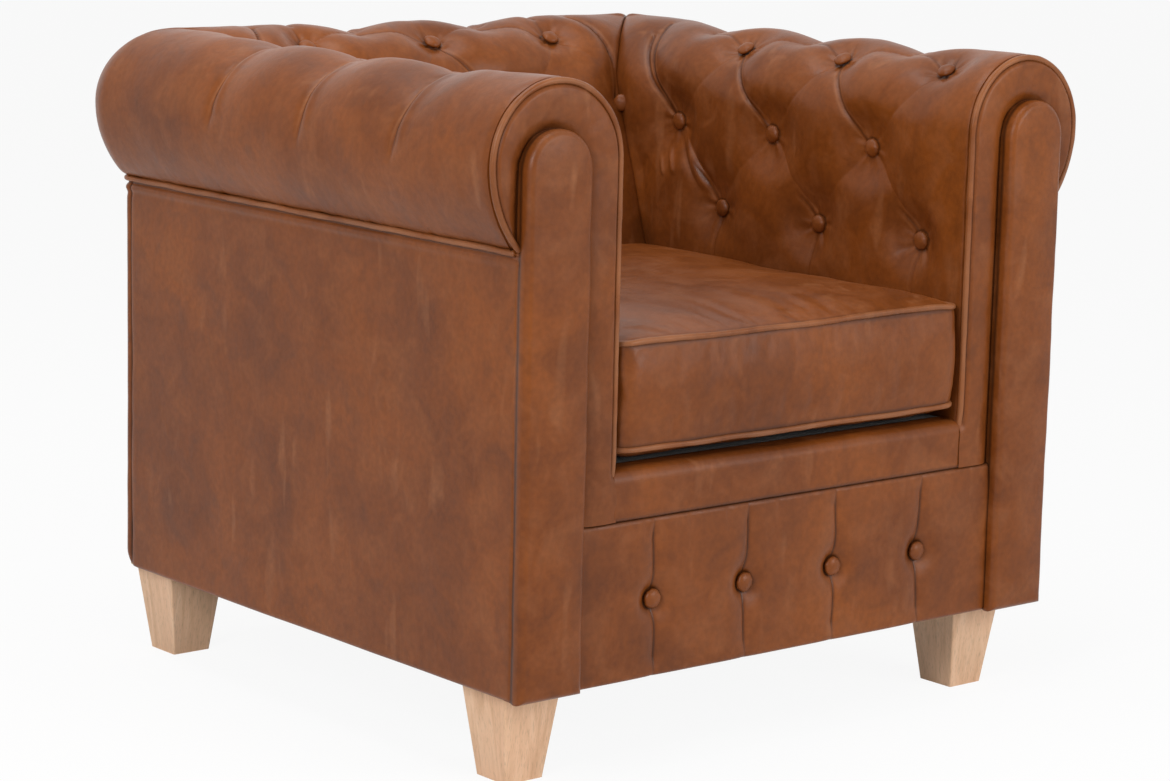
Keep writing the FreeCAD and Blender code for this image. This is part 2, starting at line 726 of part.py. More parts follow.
border_places = [(index - (border_button_count - 1) / 2) * border_button_pitch
                 for index in range(border_button_count)]
border_stations = [(-panel_inner_x, border_end_sink)]
for index, x in enumerate(border_places):
    before = -panel_inner_x if index == 0 else border_places[index - 1]
    border_stations.append(((before + x) / 2, border_swell_sink))
    border_stations.append((x - button_seat, border_pleat_depth))
    border_stations.append((x + button_seat, border_pleat_depth))
border_stations += [((border_places[-1] + panel_inner_x) / 2, border_swell_sink),
                    (panel_inner_x, border_end_sink)]
border = Part.makeLoft([border_wire(x, sink) for x, sink in border_stations], True, True)
save("front_border", border)
save("border_buttons", *[button(at(x, border_y + border_pleat_depth - gap, border_button_height), -Y)
                         for x in border_places])


def scroll_wire(inset, y, lower_x, inner_z, foot_z):
    """Arm front seen from the front: the roll's outline drawn in by inset, down to the border."""
    radius = roll_radius - inset
    drop = roll_z - roll_junction_height
    low_radius = low_roll_radius()
    low_centre = body_half_width + roll_overhang - low_radius
    low_radius -= inset
    end_x = low_centre + math.sqrt(low_radius ** 2 - drop ** 2)
    turn = math.asin(drop / low_radius) / 2
    junction = at(end_x, y, roll_junction_height)
    outer = at(arm_roll_x + radius, y, roll_z)
    top = at(arm_roll_x, y, roll_z + radius)
    inner = at(arm_roll_x - radius, y, roll_z)
    half = radius * math.sqrt(0.5)
    low_middle = at(low_centre + low_radius * math.cos(turn), y, roll_z - low_radius * math.sin(turn))
    edges = [arc(junction, low_middle, outer),
             arc(outer, at(arm_roll_x + half, y, roll_z + half), top),
             arc(top, at(arm_roll_x - half, y, roll_z + half), inner),
             line(inner, at(arm_roll_x - radius, y, inner_z))]
    if lower_x is None:
        return Part.Wire(edges)
    corners = [at(arm_roll_x - radius, y, inner_z), at(panel_inner_x, y, inner_z),
               at(panel_inner_x, y, foot_z), at(lower_x, y, foot_z),
               at(lower_x, y, roll_junction_height), junction]
    edges += [line(a, b) for a, b in zip(corners, corners[1:])]
    return Part.Wire(edges)


full = Part.Face(scroll_wire(0, step_y, frame_x, border_seam_height, base_height))
drawn_in = Part.Face(scroll_wire(2 * piping_radius + gap, border_y, frame_x, border_seam_height, base_height))
facing = full.extrude(Y * (board_y - step_y)).fuse(drawn_in.extrude(Y * (step_y - border_y)))
beside_band = box(arm_face_x, arm_face_x + 2 * piping_radius + 2 * gap, border_y, step_y,
                  border_seam_height, facing_piping_end)
facing = facing.fuse(beside_band).removeSplitter()
save_pair("arm_facing", facing.cut(groove))

piping_path = scroll_wire(piping_radius, piping_y, None, facing_piping_end + gap, 0)
start = piping_path.Edges[0].valueAt(piping_path.Edges[0].FirstParameter)
tangent = piping_path.Edges[0].tangentAt(piping_path.Edges[0].FirstParameter)
piping_ring = Part.Wire(Part.makeCircle(piping_radius - gap / 2, start, tangent))
side_panel = box(frame_x, body_half_width, border_y, back_y - corner_radius,
                 base_height, roll_junction_height)
save_pair("facing_piping", piping_path.makePipeShell([piping_ring], True, False).cut(side_panel))

half_panel = panel_width / 2
arch_x = panel_inner_x + half_panel
arch_z = panel_arch_top - half_panel
arch_wire = Part.Wire([
    line(at(panel_inner_x, border_y, base_height), at(body_half_width, border_y, base_height)),
    line(at(body_half_width, border_y, base_height), at(body_half_width, border_y, arch_z)),
    arc(at(body_half_width, border_y, arch_z), at(arch_x, border_y, panel_arch_top),
        at(panel_inner_x, border_y, arch_z)),
    line(at(panel_inner_x, border_y, arch_z), at(panel_inner_x, border_y, base_height))])
raised = Part.Face(arch_wire).extrude(Y * -panel_thickness)
rim = [edge for edge in raised.Edges
       if abs(edge.BoundBox.YMin - front_y) < near and edge.BoundBox.YLength < near
       and edge.BoundBox.ZLength > 1]
save_pair("raised_panel", raised.makeFillet(panel_edge_radius, rim))

# Outside panels and dust cover
save_pair("outside_arm", side_panel.cut(groove))


def wrap_wire(inset):
    """Plan of the outside back: straight, with a rounded corner at each end."""
    x = body_half_width - inset
    y = back_y - inset
    radius = corner_radius - inset
    shift = radius * (1 - math.sqrt(0.5))
    return [at(x, back_y - corner_radius, base_height), at(x - shift, y - shift, base_height),
            at(x - radius, y, base_height)]


outer = wrap_wire(0)
inner = wrap_wire(side_cover)
flip = [at(-p.x, p.y, p.z) for p in outer]
flip_in = [at(-p.x, p.y, p.z) for p in inner]
wrap = Part.Wire([arc(*outer), line(outer[2], flip[2]), arc(flip[2], flip[1], flip[0]),
                  line(flip[0], flip_in[0]), arc(*flip_in), line(flip_in[2], inner[2]),
                  arc(inner[2], inner[1], inner[0]), line(inner[0], outer[0])])
outside_back = Part.Face(wrap).extrude(Z * (roll_junction_height - base_height))
save("outside_back", outside_back.cut(groove))

dust = box(-frame_x, frame_x, board_y, frame_back_y - corner_radius, frame_z - dust_cover, frame_z)
for x, y in corners:
    half = leg_top / 2 + dust_margin
    dust = dust.cut(box(x - half, x + half, y - half, y + half, frame_z - dust_cover, frame_z))
save("dust_cover", dust)

# Seat cushion
cushion_half = arm_face_x - cushion_gap
zip_half_length = cushion_half - zip_end_gap
cushion_back = back_face_y - cushion_gap
cushion_front = border_y


def cushion_wire(u, inset):
    """Section of the cushion at u from -1 to 1 across its width."""
    x = u * (cushion_half - cushion_piping_radius / 2 - inset)
    rise = (1 - u ** 4) ** 0.5 if abs(u) < 1 else 0.0
    draw = cushion_piping_radius / 2 + inset + cushion_end_draw * u ** 12
    front = cushion_front + draw
    rear = cushion_back - draw
    low = cushion_edge_low + inset
    high = cushion_edge_high - inset
    level = (low + high) / 2
    middle = (front + rear) / 2
    bulge = cushion_front_bulge * rise + gap
    edges = [arc(at(x, front, low), at(x, front - bulge, level), at(x, front, high)),
             arc(at(x, front, high), at(x, middle, high + cushion_crown_top * rise + gap), at(x, rear, high)),
             arc(at(x, rear, high), at(x, rear - zip_recess, level), at(x, rear, low)),
             arc(at(x, rear, low), at(x, middle, low - cushion_crown_bottom * rise - gap), at(x, front, low))]
    return Part.Wire(edges)


def cushion_body(inset):
    places = [-1.0, -0.97, -0.88, -0.7, -0.4, 0.0, 0.4, 0.7, 0.88, 0.97, 1.0]
    return Part.makeLoft([cushion_wire(u, inset) for u in places], True, True)


def cushion_loop(z):
    """Path of a cushion piping seen from above: a rectangle with rounded corners."""
    x = cushion_half - cushion_piping_radius
    y0 = cushion_front + cushion_piping_radius
    y1 = cushion_back - cushion_piping_radius
    r = cushion_corner_radius
    k = r * (1 - math.sqrt(0.5))
    points = [(x, y0 + r), (x, y1 - r), (x - k, y1 - k), (x - r, y1), (-x + r, y1), (-x + k, y1 - k),
              (-x, y1 - r), (-x, y0 + r), (-x + k, y0 + k), (-x + r, y0), (x - r, y0), (x - k, y0 + k)]
    p = [at(px, py, z) for px, py in points]
    return Part.Wire([line(p[0], p[1]), arc(p[1], p[2], p[3]), line(p[3], p[4]), arc(p[4], p[5], p[6]),
                      line(p[6], p[7]), arc(p[7], p[8], p[9]), line(p[9], p[10]), arc(p[10], p[11], p[0])])


def cushion_rope(z, radius):
    path = cushion_loop(z)
    ring = Part.Wire(Part.makeCircle(radius, path.Edges[0].Vertexes[0].Point, Y))
    return path.makePipeShell([ring], True, False)


cushion_outer = cushion_body(0)
cushion_inner = cushion_body(cushion_wall)
cushion_core = cushion_body(cushion_wall + core_gap)
zip_z = (cushion_edge_low + cushion_edge_high) / 2
zip_y = cushion_back - cushion_piping_radius / 2 - zip_recess
zip_seat = box(-zip_half_length - zip_margin, zip_half_length + zip_margin, zip_y, zip_y + 3 * zip_recess,
               zip_z - zip_tape_height / 2 - zip_margin, zip_z + zip_tape_height / 2 + zip_margin)
cushion_cover = cushion_outer.cut(cushion_inner).cut(zip_seat)
ropes = []
for z in (cushion_edge_low, cushion_edge_high):
    cushion_cover = cushion_cover.cut(cushion_rope(z, cushion_piping_radius + gap))
    ropes.append(cushion_rope(z, cushion_piping_radius))
save("cushion_cover", cushion_cover)
save("cushion_core", cushion_core)
save("cushion_piping_low", ropes[0])
save("cushion_piping_high", ropes[1])

coil_half = zip_coil_height / 2
zip_back = zip_y + zip_tape
tape = box(-zip_half_length, zip_half_length, zip_y, zip_back, zip_z - zip_tape_height / 2,
           zip_z + zip_tape_height / 2)
save("cushion_zip_tape", tape)
save("cushion_zip_coil", box(-zip_half_length, zip_half_length, zip_back, zip_back + zip_coil,
                             zip_z - coil_half, zip_z + coil_half))
slider_x = -zip_half_length + slider_length
slider_half = coil_half + slider_clearance + slider_skin
slider = box(slider_x - slider_length / 2, slider_x + slider_length / 2, zip_back + slider_clearance,
             zip_back + zip_coil + slider_clearance + slider_skin, zip_z - slider_half, zip_z + slider_half)
slider = slider.cut(box(slider_x - slider_length, slider_x + slider_length, zip_back,
                        zip_back + zip_coil + slider_clearance, zip_z - coil_half - slider_clearance,
                        zip_z + coil_half + slider_clearance))
save("zip_slider", slider)
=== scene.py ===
import json
import math

import bmesh
import bpy
import numpy as np
from mathutils import Matrix, Vector


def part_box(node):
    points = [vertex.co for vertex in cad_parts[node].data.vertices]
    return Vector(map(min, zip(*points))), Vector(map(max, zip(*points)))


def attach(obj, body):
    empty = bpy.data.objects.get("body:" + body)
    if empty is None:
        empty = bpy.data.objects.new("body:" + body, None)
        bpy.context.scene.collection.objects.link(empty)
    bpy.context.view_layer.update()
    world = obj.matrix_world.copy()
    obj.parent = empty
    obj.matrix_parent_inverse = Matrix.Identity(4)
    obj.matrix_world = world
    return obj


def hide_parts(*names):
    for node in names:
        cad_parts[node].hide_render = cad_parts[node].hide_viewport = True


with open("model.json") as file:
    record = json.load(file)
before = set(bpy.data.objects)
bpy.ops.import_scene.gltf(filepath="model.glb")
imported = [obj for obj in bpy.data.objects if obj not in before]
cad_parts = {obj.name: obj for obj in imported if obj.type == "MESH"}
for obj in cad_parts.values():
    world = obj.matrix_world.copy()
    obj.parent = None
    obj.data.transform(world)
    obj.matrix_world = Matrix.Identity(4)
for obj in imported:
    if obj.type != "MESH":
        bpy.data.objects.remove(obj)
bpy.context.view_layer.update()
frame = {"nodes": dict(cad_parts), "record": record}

# Chesterfield armchair, metres, in the row frame: floor at z = 0, +X to the viewer's right, +Y to the back.

# Sizes that the pieces share with the solids
ROLL_R = 0.081            # roll radius
ROLL_Z = 0.619            # height of the roll's centre
ARM_ROLL_X = 0.321        # roll's centre line on an arm
ARM_FACE_X = 0.240        # inside face of an arm
BACK_ROLL_Y = 0.298       # roll's centre line on the back
BACK_FACE_Y = 0.154       # inside face of the back at the seat
KINK_Z = 0.430            # the inside back leans from here up
SIDE_X = 0.367            # outside of the arm panels
BACK_Y = 0.344            # outside of the back panel
JUNCTION_Z = 0.535        # where a roll meets the panel under it
LOW_R = 0.1183            # radius of a roll's lower outside
BORDER_Y = -0.365         # front of facings, band and border
BASE_Z = 0.097            # lower edge of the leather
SEAM_Z = 0.261            # seam between band and border
CORNER_R = 0.022          # outside back corners of the panels
ROLL_CORNER_R = 0.060     # outside back corners of the rolls at their widest

collection = bpy.context.scene.collection


# Camera
def add_camera():
    yaw, pitch, roll = math.radians(39.9), math.radians(-10.36), math.radians(1.358)
    forward = Vector((math.sin(yaw) * math.cos(pitch), math.cos(yaw) * math.cos(pitch), math.sin(pitch)))
    side = forward.cross(Vector((0, 0, 1))).normalized()
    up = side.cross(forward)
    right = side * math.cos(roll) + up * math.sin(roll)
    top = up * math.cos(roll) - side * math.sin(roll)
    data = bpy.data.cameras.new("camera")
    data.sensor_width = 36
    data.lens = 101.07
    camera = bpy.data.objects.new("camera", data)
    basis = Matrix((right, top, -forward)).transposed().to_4x4()
    camera.matrix_world = Matrix.Translation((-2.28006, -2.75309, 0.96593)) @ basis
    collection.objects.link(camera)
    bpy.context.scene.camera = camera


def new_node(nodes, kind, **values):
    """A shader node with the values of some of its inputs."""
    node = nodes.new("ShaderNode" + kind)
    for name, value in values.items():
        node.inputs[name].default_value = value
    return node


def multiplied(nodes, links, value, factor, clamp=False):
    node = nodes.new("ShaderNodeMath")
    node.operation = "MULTIPLY"
    node.use_clamp = clamp
    node.inputs[1].default_value = factor
    links.new(value, node.inputs[0])
    return node.outputs[0]


# Light, floor and backdrop
def area_light(name, place, target, size, power, colour=(1, 1, 1)):
    data = bpy.data.lights.new(name, "AREA")
    data.shape = "RECTANGLE"
    data.size, data.size_y = size
    data.energy = power
    data.color = colour
    lamp = bpy.data.objects.new(name, data)
    lamp.location = place
    lamp.rotation_euler = (Vector(target) - Vector(place)).to_track_quat("-Z", "Y").to_euler()
    collection.objects.link(lamp)


def seen_rays(nodes, links):
    """1 for rays that see the backdrop straight, in a gloss or through glass, and 0 for its light."""
    path = nodes.new("ShaderNodeLightPath")
    total = path.outputs["Is Camera Ray"]
    for name in ("Is Glossy Ray", "Is Transmission Ray"):
        node = nodes.new("ShaderNodeMath")
        node.operation = "ADD"
        node.use_clamp = True
        links.new(total, node.inputs[0])
        links.new(path.outputs[name], node.inputs[1])
        total = node.outputs[0]
    return total


def add_studio():
    world = bpy.data.worlds.new("studio")
    bpy.context.scene.world = world
    world.use_nodes = True
    nodes, links = world.node_tree.nodes, world.node_tree.links
    nodes.clear()
    out = nodes.new("ShaderNodeOutputWorld")
    fill = new_node(nodes, "Background", Color=(1, 1, 1, 1), Strength=0.30)
    white = new_node(nodes, "Background", Color=(1, 1, 1, 1), Strength=1.0)
    mix = nodes.new("ShaderNodeMixShader")
    links.new(seen_rays(nodes, links), mix.inputs["Fac"])
    links.new(fill.outputs[0], mix.inputs[1])
    links.new(white.outputs[0], mix.inputs[2])
    links.new(mix.outputs[0], out.inputs["Surface"])

    area_light("overhead", (-0.5, 0.1, 3.0), (0, 0.1, 0.4), (1.9, 1.6), 38)
    area_light("key_left", (-3.0, -1.5, 2.0), (-0.1, 0, 0.45), (1.2, 1.4), 59)
    area_light("fill_front", (1.2, -3.2, 1.5), (0, -0.1, 0.35), (1.8, 1.5), 49)

    mesh = bpy.data.meshes.new("floor")
    half = 12.0
    mesh.from_pydata([(-half, -half, 0), (half, -half, 0), (half, half, 0), (-half, half, 0)], [],
                     [(0, 1, 2, 3)])
    floor = bpy.data.objects.new("floor", mesh)
    collection.objects.link(floor)
    material = bpy.data.materials.new("floor")
    material.use_nodes = True
    nodes, links = material.node_tree.nodes, material.node_tree.links
    nodes.clear()
    out = nodes.new("ShaderNodeOutputMaterial")
    diffuse = new_node(nodes, "BsdfDiffuse", Color=(0.86, 0.86, 0.86, 1))
    glow = new_node(nodes, "Emission", Strength=1.0)
    mix = nodes.new("ShaderNodeMixShader")
    links.new(multiplied(nodes, links, seen_rays(nodes, links), 0.92), mix.inputs["Fac"])
    links.new(diffuse.outputs[0], mix.inputs[1])
    links.new(glow.outputs[0], mix.inputs[2])
    links.new(mix.outputs[0], out.inputs["Surface"])
    mesh.materials.append(material)


# Numbers and meshes
def clouds(u, v, size, seed):
    """Smooth noise from -1 to 1 over the plane, its patches about size wide."""
    table = np.random.RandomState(seed).uniform(-1, 1, (64, 64))
    x, y = np.asarray(u) / size + 1000.0, np.asarray(v) / size + 1000.0
    i, j = np.floor(x).astype(int), np.floor(y).astype(int)
    fx, fy = x - i, y - j
    fx, fy = fx * fx * (3 - 2 * fx), fy * fy * (3 - 2 * fy)
    a, b = table[i % 64, j % 64], table[(i + 1) % 64, j % 64]
    c, d = table[i % 64, (j + 1) % 64], table[(i + 1) % 64, (j + 1) % 64]
    return (a * (1 - fx) + b * fx) * (1 - fy) + (c * (1 - fx) + d * fx) * fy


def smooth(x):
    """From 0 at x = 0 to 1 at x = 1, level at both ends."""
    x = np.clip(x, 0, 1)
    return x * x * (3 - 2 * x)


def rounding(x):
    """Down from 1 at x = 0 to 0 at x = 1 along a quarter circle that ends level."""
    return 1 - np.sqrt(np.maximum(1 - (1 - np.clip(x, 0, 1)) ** 2, 0))


def bell(x):
    """1 at x = 0, falling away on both sides."""
    return np.exp(-x ** 2)


def run(path):
    """Length along a line of points up to each of them."""
    return np.concatenate([[0], np.cumsum(np.linalg.norm(np.diff(path, axis=0), axis=1))])


def stations(start, *stretches):
    """Places from start through the end of each stretch, given as its end and its count of places."""
    places = [np.array([start])]
    for end, count in stretches:
        places.append(np.linspace(places[-1][-1], end, count)[1:])
    return np.concatenate(places)


def quads(rows, columns, close_rows=False, close_columns=False):
    """Faces of a grid of points, the column running fastest."""
    i = np.arange(rows if close_rows else rows - 1)
    j = np.arange(columns if close_columns else columns - 1)
    i, j = [a.ravel() for a in np.meshgrid(i, j, indexing="ij")]
    i2, j2 = (i + 1) % rows, (j + 1) % columns
    return np.stack([i * columns + j, i * columns + j2, i2 * columns + j2, i2 * columns + j], 1)


class Build:
    """Points and faces of one piece, put together from grids."""

    def __init__(self):
        self.points, self.faces, self.dips, self.count = [], [], [], 0

    def add(self, points, faces, dip=None):
        points = np.asarray(points, float).reshape(-1, 3)
        self.points.append(points)
        self.faces += [tuple(int(k) + self.count for k in face) for face in faces]
        self.dips.append(np.zeros(len(points)) if dip is None else np.asarray(dip, float).ravel())
        self.count += len(points)

    def grid(self, points, dip=None, close_rows=False, close_columns=False, flip=False):
        points = np.asarray(points, float)
        faces = quads(points.shape[0], points.shape[1], close_rows, close_columns)
        if flip:
            faces = faces[:, ::-1]
        self.add(points, faces, dip)

    def piece(self, name, material, body, replaced=(), mirrored=False, merge=0.00005):
        points = np.concatenate(self.points)
        faces = self.faces
        if mirrored:
            points = points * np.array([-1.0, 1.0, 1.0])
            faces = [face[::-1] for face in faces]
        mesh = bpy.data.meshes.new(name)
        mesh.from_pydata(points.tolist(), [], faces)
        # Per-point painted shade (above 0) and painted highlight (below 0), read by the leather's colour.
        dip = mesh.attributes.new("dip", "FLOAT", "POINT")
        dip.data.foreach_set("value", np.concatenate(self.dips).astype(np.float32))
        made = bmesh.new()
        made.from_mesh(mesh)
        if merge:
            bmesh.ops.remove_doubles(made, verts=made.verts, dist=merge)
        bmesh.ops.recalc_face_normals(made, faces=made.faces)
        made.to_mesh(mesh)
        made.free()
        mesh.shade_smooth()
        mesh.materials.append(material)
        piece = bpy.data.objects.new(name, mesh)
        collection.objects.link(piece)
        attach(piece, body)
        if replaced:
            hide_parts(*replaced)
        return piece


def leather_piece(points, dip, name, replaced, mirrored=False, close_columns=False):
    """A leather piece of the chair made of one grid."""
    build = Build()
    build.grid(points, dip, close_columns=close_columns)
    return build.piece(name, LEATHER, "chair", [replaced], mirrored)


# Materials
def new_material(name):
    material = bpy.data.materials.new(name)
    material.use_nodes = True
    nodes, links = material.node_tree.nodes, material.node_tree.links
    nodes.clear()
    out = nodes.new("ShaderNodeOutputMaterial")
    shader = nodes.new("ShaderNodeBsdfPrincipled")
    links.new(shader.outputs["BSDF"], out.inputs["Surface"])
    return material, nodes, links, shader, nodes.new("ShaderNodeTexCoord").outputs["Object"]


def noise_node(nodes, links, vector, scale, detail, distortion=0.0, roughness=0.5):
    node = new_node(nodes, "TexNoise", Scale=scale, Detail=detail, Distortion=distortion,
                    Roughness=roughness)
    links.new(vector, node.inputs["Vector"])
    return node


def ramp_node(nodes, links, fac, stops):
    node = nodes.new("ShaderNodeValToRGB")
    ramp = node.color_ramp
    while len(ramp.elements) < len(stops):
        ramp.elements.new(0.5)
    for element, (place, colour) in zip(ramp.elements, stops):
        element.position = place
        element.color = (*colour, 1)
    links.new(fac, node.inputs["Fac"])
    return node


def mix_node(nodes, links, fac, a, b, blend="MIX"):
    node = nodes.new("ShaderNodeMix")
    node.data_type = "RGBA"
    node.blend_type = blend
    for value, socket in ((fac, node.inputs["Factor"]), (a, node.inputs["A"]), (b, node.inputs["B"])):
        if hasattr(value, "is_linked"):
            links.new(value, socket)
        else:
            socket.default_value = value
    return node.outputs["Result"]


def scaled(nodes, links, vector, scale, turn=(0, 0, 0)):
    node = new_node(nodes, "Mapping", Scale=scale, Rotation=turn)
    links.new(vector, node.inputs["Vector"])
    return node.outputs["Vector"]


def bump_node(nodes, links, height, strength, distance, normal=None):
    """The bumped normal for a height, on top of another normal where one is given."""
    node = new_node(nodes, "Bump", Strength=strength, Distance=distance)
    links.new(height, node.inputs["Height"])
    if normal is not None:
        links.new(normal, node.inputs["Normal"])
    return node.outputs["Normal"]


def grey(value):
    return (value, value, value)


def leather_material():
    """Waxed tan leather: cloudy colour, pale scuffs and a faint pebble grain, with painted shade in folds,
    seams and button pits, painted highlights beside folds, and pipings paler partly from wear and partly as
    painted highlight.
    """
    material, nodes, links, shader, place = new_material("tan_leather")

    broad = noise_node(nodes, links, place, 7.0, 3.0, 0.6)
    base = ramp_node(nodes, links, broad.outputs["Fac"], [
        (0.30, (0.146, 0.038, 0.0070)), (0.50, (0.188, 0.049, 0.0078)), (0.70, (0.230, 0.061, 0.0088))])
    cloud = noise_node(nodes, links, place, 21.0, 4.0, 0.9, 0.55)
    pale = ramp_node(nodes, links, cloud.outputs["Fac"], [(0.48, grey(0)), (0.72, grey(0.55))])
    colour = mix_node(nodes, links, pale.outputs["Color"], base.outputs["Color"], (0.240, 0.078, 0.024, 1))
    dark = ramp_node(nodes, links, cloud.outputs["Fac"], [(0.28, grey(0.45)), (0.46, grey(0))])
    colour = mix_node(nodes, links, dark.outputs["Color"], colour, (0.106, 0.030, 0.008, 1))

    streak_place = scaled(nodes, links, place, (34, 34, 9), (0.25, 0.1, 0))
    streak = noise_node(nodes, links, streak_place, 1.0, 2.0, 0.5)
    scuffs = ramp_node(nodes, links, streak.outputs["Fac"], [(0.63, grey(0)), (0.76, grey(0.42))])
    colour = mix_node(nodes, links, scuffs.outputs["Color"], colour, (0.310, 0.118, 0.046, 1))

    fine = noise_node(nodes, links, place, 160.0, 3.0)
    speck = ramp_node(nodes, links, fine.outputs["Fac"], [(0.35, grey(0.90)), (0.65, grey(1.06))])
    colour = mix_node(nodes, links, 1.0, colour, speck.outputs["Color"], "MULTIPLY")

    # Painted shade: values above 0 darken the leather in folds, seams, button pits and beside pipings.
    dip = nodes.new("ShaderNodeAttribute")
    dip.attribute_name = "dip"
    colour = mix_node(nodes, links, dip.outputs["Fac"], colour, (0.022, 0.007, 0.003, 1))
    # Painted highlight: values below 0 lighten the leather beside folds, and on pipings partly as wear.
    highlight_and_wear = multiplied(nodes, links, dip.outputs["Fac"], -1.0, True)
    colour = mix_node(nodes, links, highlight_and_wear, colour, (0.420, 0.185, 0.085, 1))
    links.new(colour, shader.inputs["Base Color"])

    dull = ramp_node(nodes, links, cloud.outputs["Fac"], [(0.30, grey(0.31)), (0.70, grey(0.42))])
    links.new(dull.outputs["Color"], shader.inputs["Roughness"])
    shader.inputs["Specular IOR Level"].default_value = 0.22

    cells = new_node(nodes, "TexVoronoi", Scale=620.0)
    cells.feature = "DISTANCE_TO_EDGE"
    links.new(place, cells.inputs["Vector"])
    pebble = ramp_node(nodes, links, cells.outputs["Distance"], [(0.0, grey(0)), (0.16, grey(1))])
    grain = bump_node(nodes, links, pebble.outputs["Color"], 0.10, 0.0004)
    ripple = noise_node(nodes, links, place, 75.0, 4.0, 0.6)
    links.new(bump_node(nodes, links, ripple.outputs["Fac"], 0.14, 0.0022, grain), shader.inputs["Normal"])
    return material


def wood_material():
    """Pale sanded rubberwood under a thin matt varnish, its grain upright."""
    material, nodes, links, shader, place = new_material("pale_wood")
    long = scaled(nodes, links, place, (60, 60, 3.2), (0.03, 0.02, 0))
    rings = noise_node(nodes, links, long, 1.0, 5.0, 1.4, 0.6)
    base = ramp_node(nodes, links, rings.outputs["Fac"], [
        (0.30, (0.640, 0.385, 0.228)), (0.50, (0.760, 0.490, 0.312)), (0.70, (0.830, 0.570, 0.385))])
    pores_place = scaled(nodes, links, place, (900, 900, 26))
    pores = noise_node(nodes, links, pores_place, 1.0, 2.0)
    lines = ramp_node(nodes, links, pores.outputs["Fac"], [(0.33, grey(0.80)), (0.44, grey(1))])
    colour = mix_node(nodes, links, 1.0, base.outputs["Color"], lines.outputs["Color"], "MULTIPLY")
    broad = noise_node(nodes, links, place, 16.0, 2.0)
    tint = ramp_node(nodes, links, broad.outputs["Fac"],
                     [(0.35, (0.95, 0.93, 0.90)), (0.65, (1.03, 1.0, 0.98))])
    colour = mix_node(nodes, links, 1.0, colour, tint.outputs["Color"], "MULTIPLY")
    links.new(colour, shader.inputs["Base Color"])
    shader.inputs["Roughness"].default_value = 0.48
    links.new(bump_node(nodes, links, pores.outputs["Fac"], 0.18, 0.0006), shader.inputs["Normal"])
    return material


def plain_material(name, dark, light, scale, roughness, metallic=0.0, bump=0.2):
    """Two close tones in a fine noise, for the pieces inside and underneath."""
    material, nodes, links, shader, place = new_material(name)
    tone = noise_node(nodes, links, place, scale, 4.0, 0.3)
    colour = ramp_node(nodes, links, tone.outputs["Fac"], [(0.35, dark), (0.65, light)])
    links.new(colour.outputs["Color"], shader.inputs["Base Color"])
    shader.inputs["Roughness"].default_value = roughness
    shader.inputs["Metallic"].default_value = metallic
    links.new(bump_node(nodes, links, tone.outputs["Fac"], bump, 0.0006), shader.inputs["Normal"])
    return material


def cloth_material(name, dark, light, pitch):
    """Plain weave of a dark lining cloth, threads pitch apart."""
    material, nodes, links, shader, place = new_material(name)
    threads = []
    for turn in (0.0, math.pi / 2):
        wave = new_node(nodes, "TexWave", Scale=1 / pitch / 20, Distortion=0.6, Detail=1.0)
        wave.wave_type = "BANDS"
        wave.bands_direction = "X"
        links.new(scaled(nodes, links, place, (20, 20, 20), (0, 0, turn)), wave.inputs["Vector"])
        threads.append(wave.outputs["Fac"])
    weave = mix_node(nodes, links, 0.5, threads[0], threads[1])
    colour = mix_node(nodes, links, weave, (*dark, 1), (*light, 1))
    links.new(colour, shader.inputs["Base Color"])
    shader.inputs["Roughness"].default_value = 0.9
    shader.inputs["Sheen Weight"].default_value = 0.2
    links.new(bump_node(nodes, links, weave, 0.4, 0.0005), shader.inputs["Normal"])
    return material


LEATHER = leather_material()
WOOD = wood_material()
TIMBER = plain_material("pine_frame", (0.42, 0.27, 0.13), (0.60, 0.42, 0.23), 40, 0.7)
BOARD = plain_material("hardboard", (0.10, 0.055, 0.03), (0.15, 0.09, 0.05), 300, 0.8)
FOAM = plain_material("foam", (0.62, 0.56, 0.38), (0.74, 0.69, 0.50), 700, 0.95)
STEEL = plain_material("steel", (0.25, 0.25, 0.26), (0.42, 0.42, 0.43), 200, 0.38, 1.0)
CLOTH = cloth_material("black_cloth", (0.011, 0.010, 0.009), (0.030, 0.027, 0.024), 0.0009)
ZIP_TAPE = cloth_material("zip_tape", (0.030, 0.014, 0.008), (0.060, 0.030, 0.018), 0.0006)
ZIP_METAL = plain_material("old_brass", (0.30, 0.20, 0.08), (0.42, 0.30, 0.14), 300, 0.35, 1.0)
ZIP_COIL = plain_material("zip_coil", (0.035, 0.016, 0.010), (0.060, 0.028, 0.016), 900, 0.4)

BY_SLOT = {"leg_wood": WOOD, "frame_timber": TIMBER, "plywood": TIMBER, "hardboard": BOARD, "foam": FOAM,
           "steel": STEEL, "black_cloth": CLOTH, "zip_tape": ZIP_TAPE, "zip_metal": ZIP_METAL,
           "zip_coil": ZIP_COIL, "leather": LEATHER}
for part in frame["record"]["subparts"]:
    node = frame["nodes"][part["node"]]
    node.data.materials.clear()
    node.data.materials.append(BY_SLOT[part["material_slot"]])


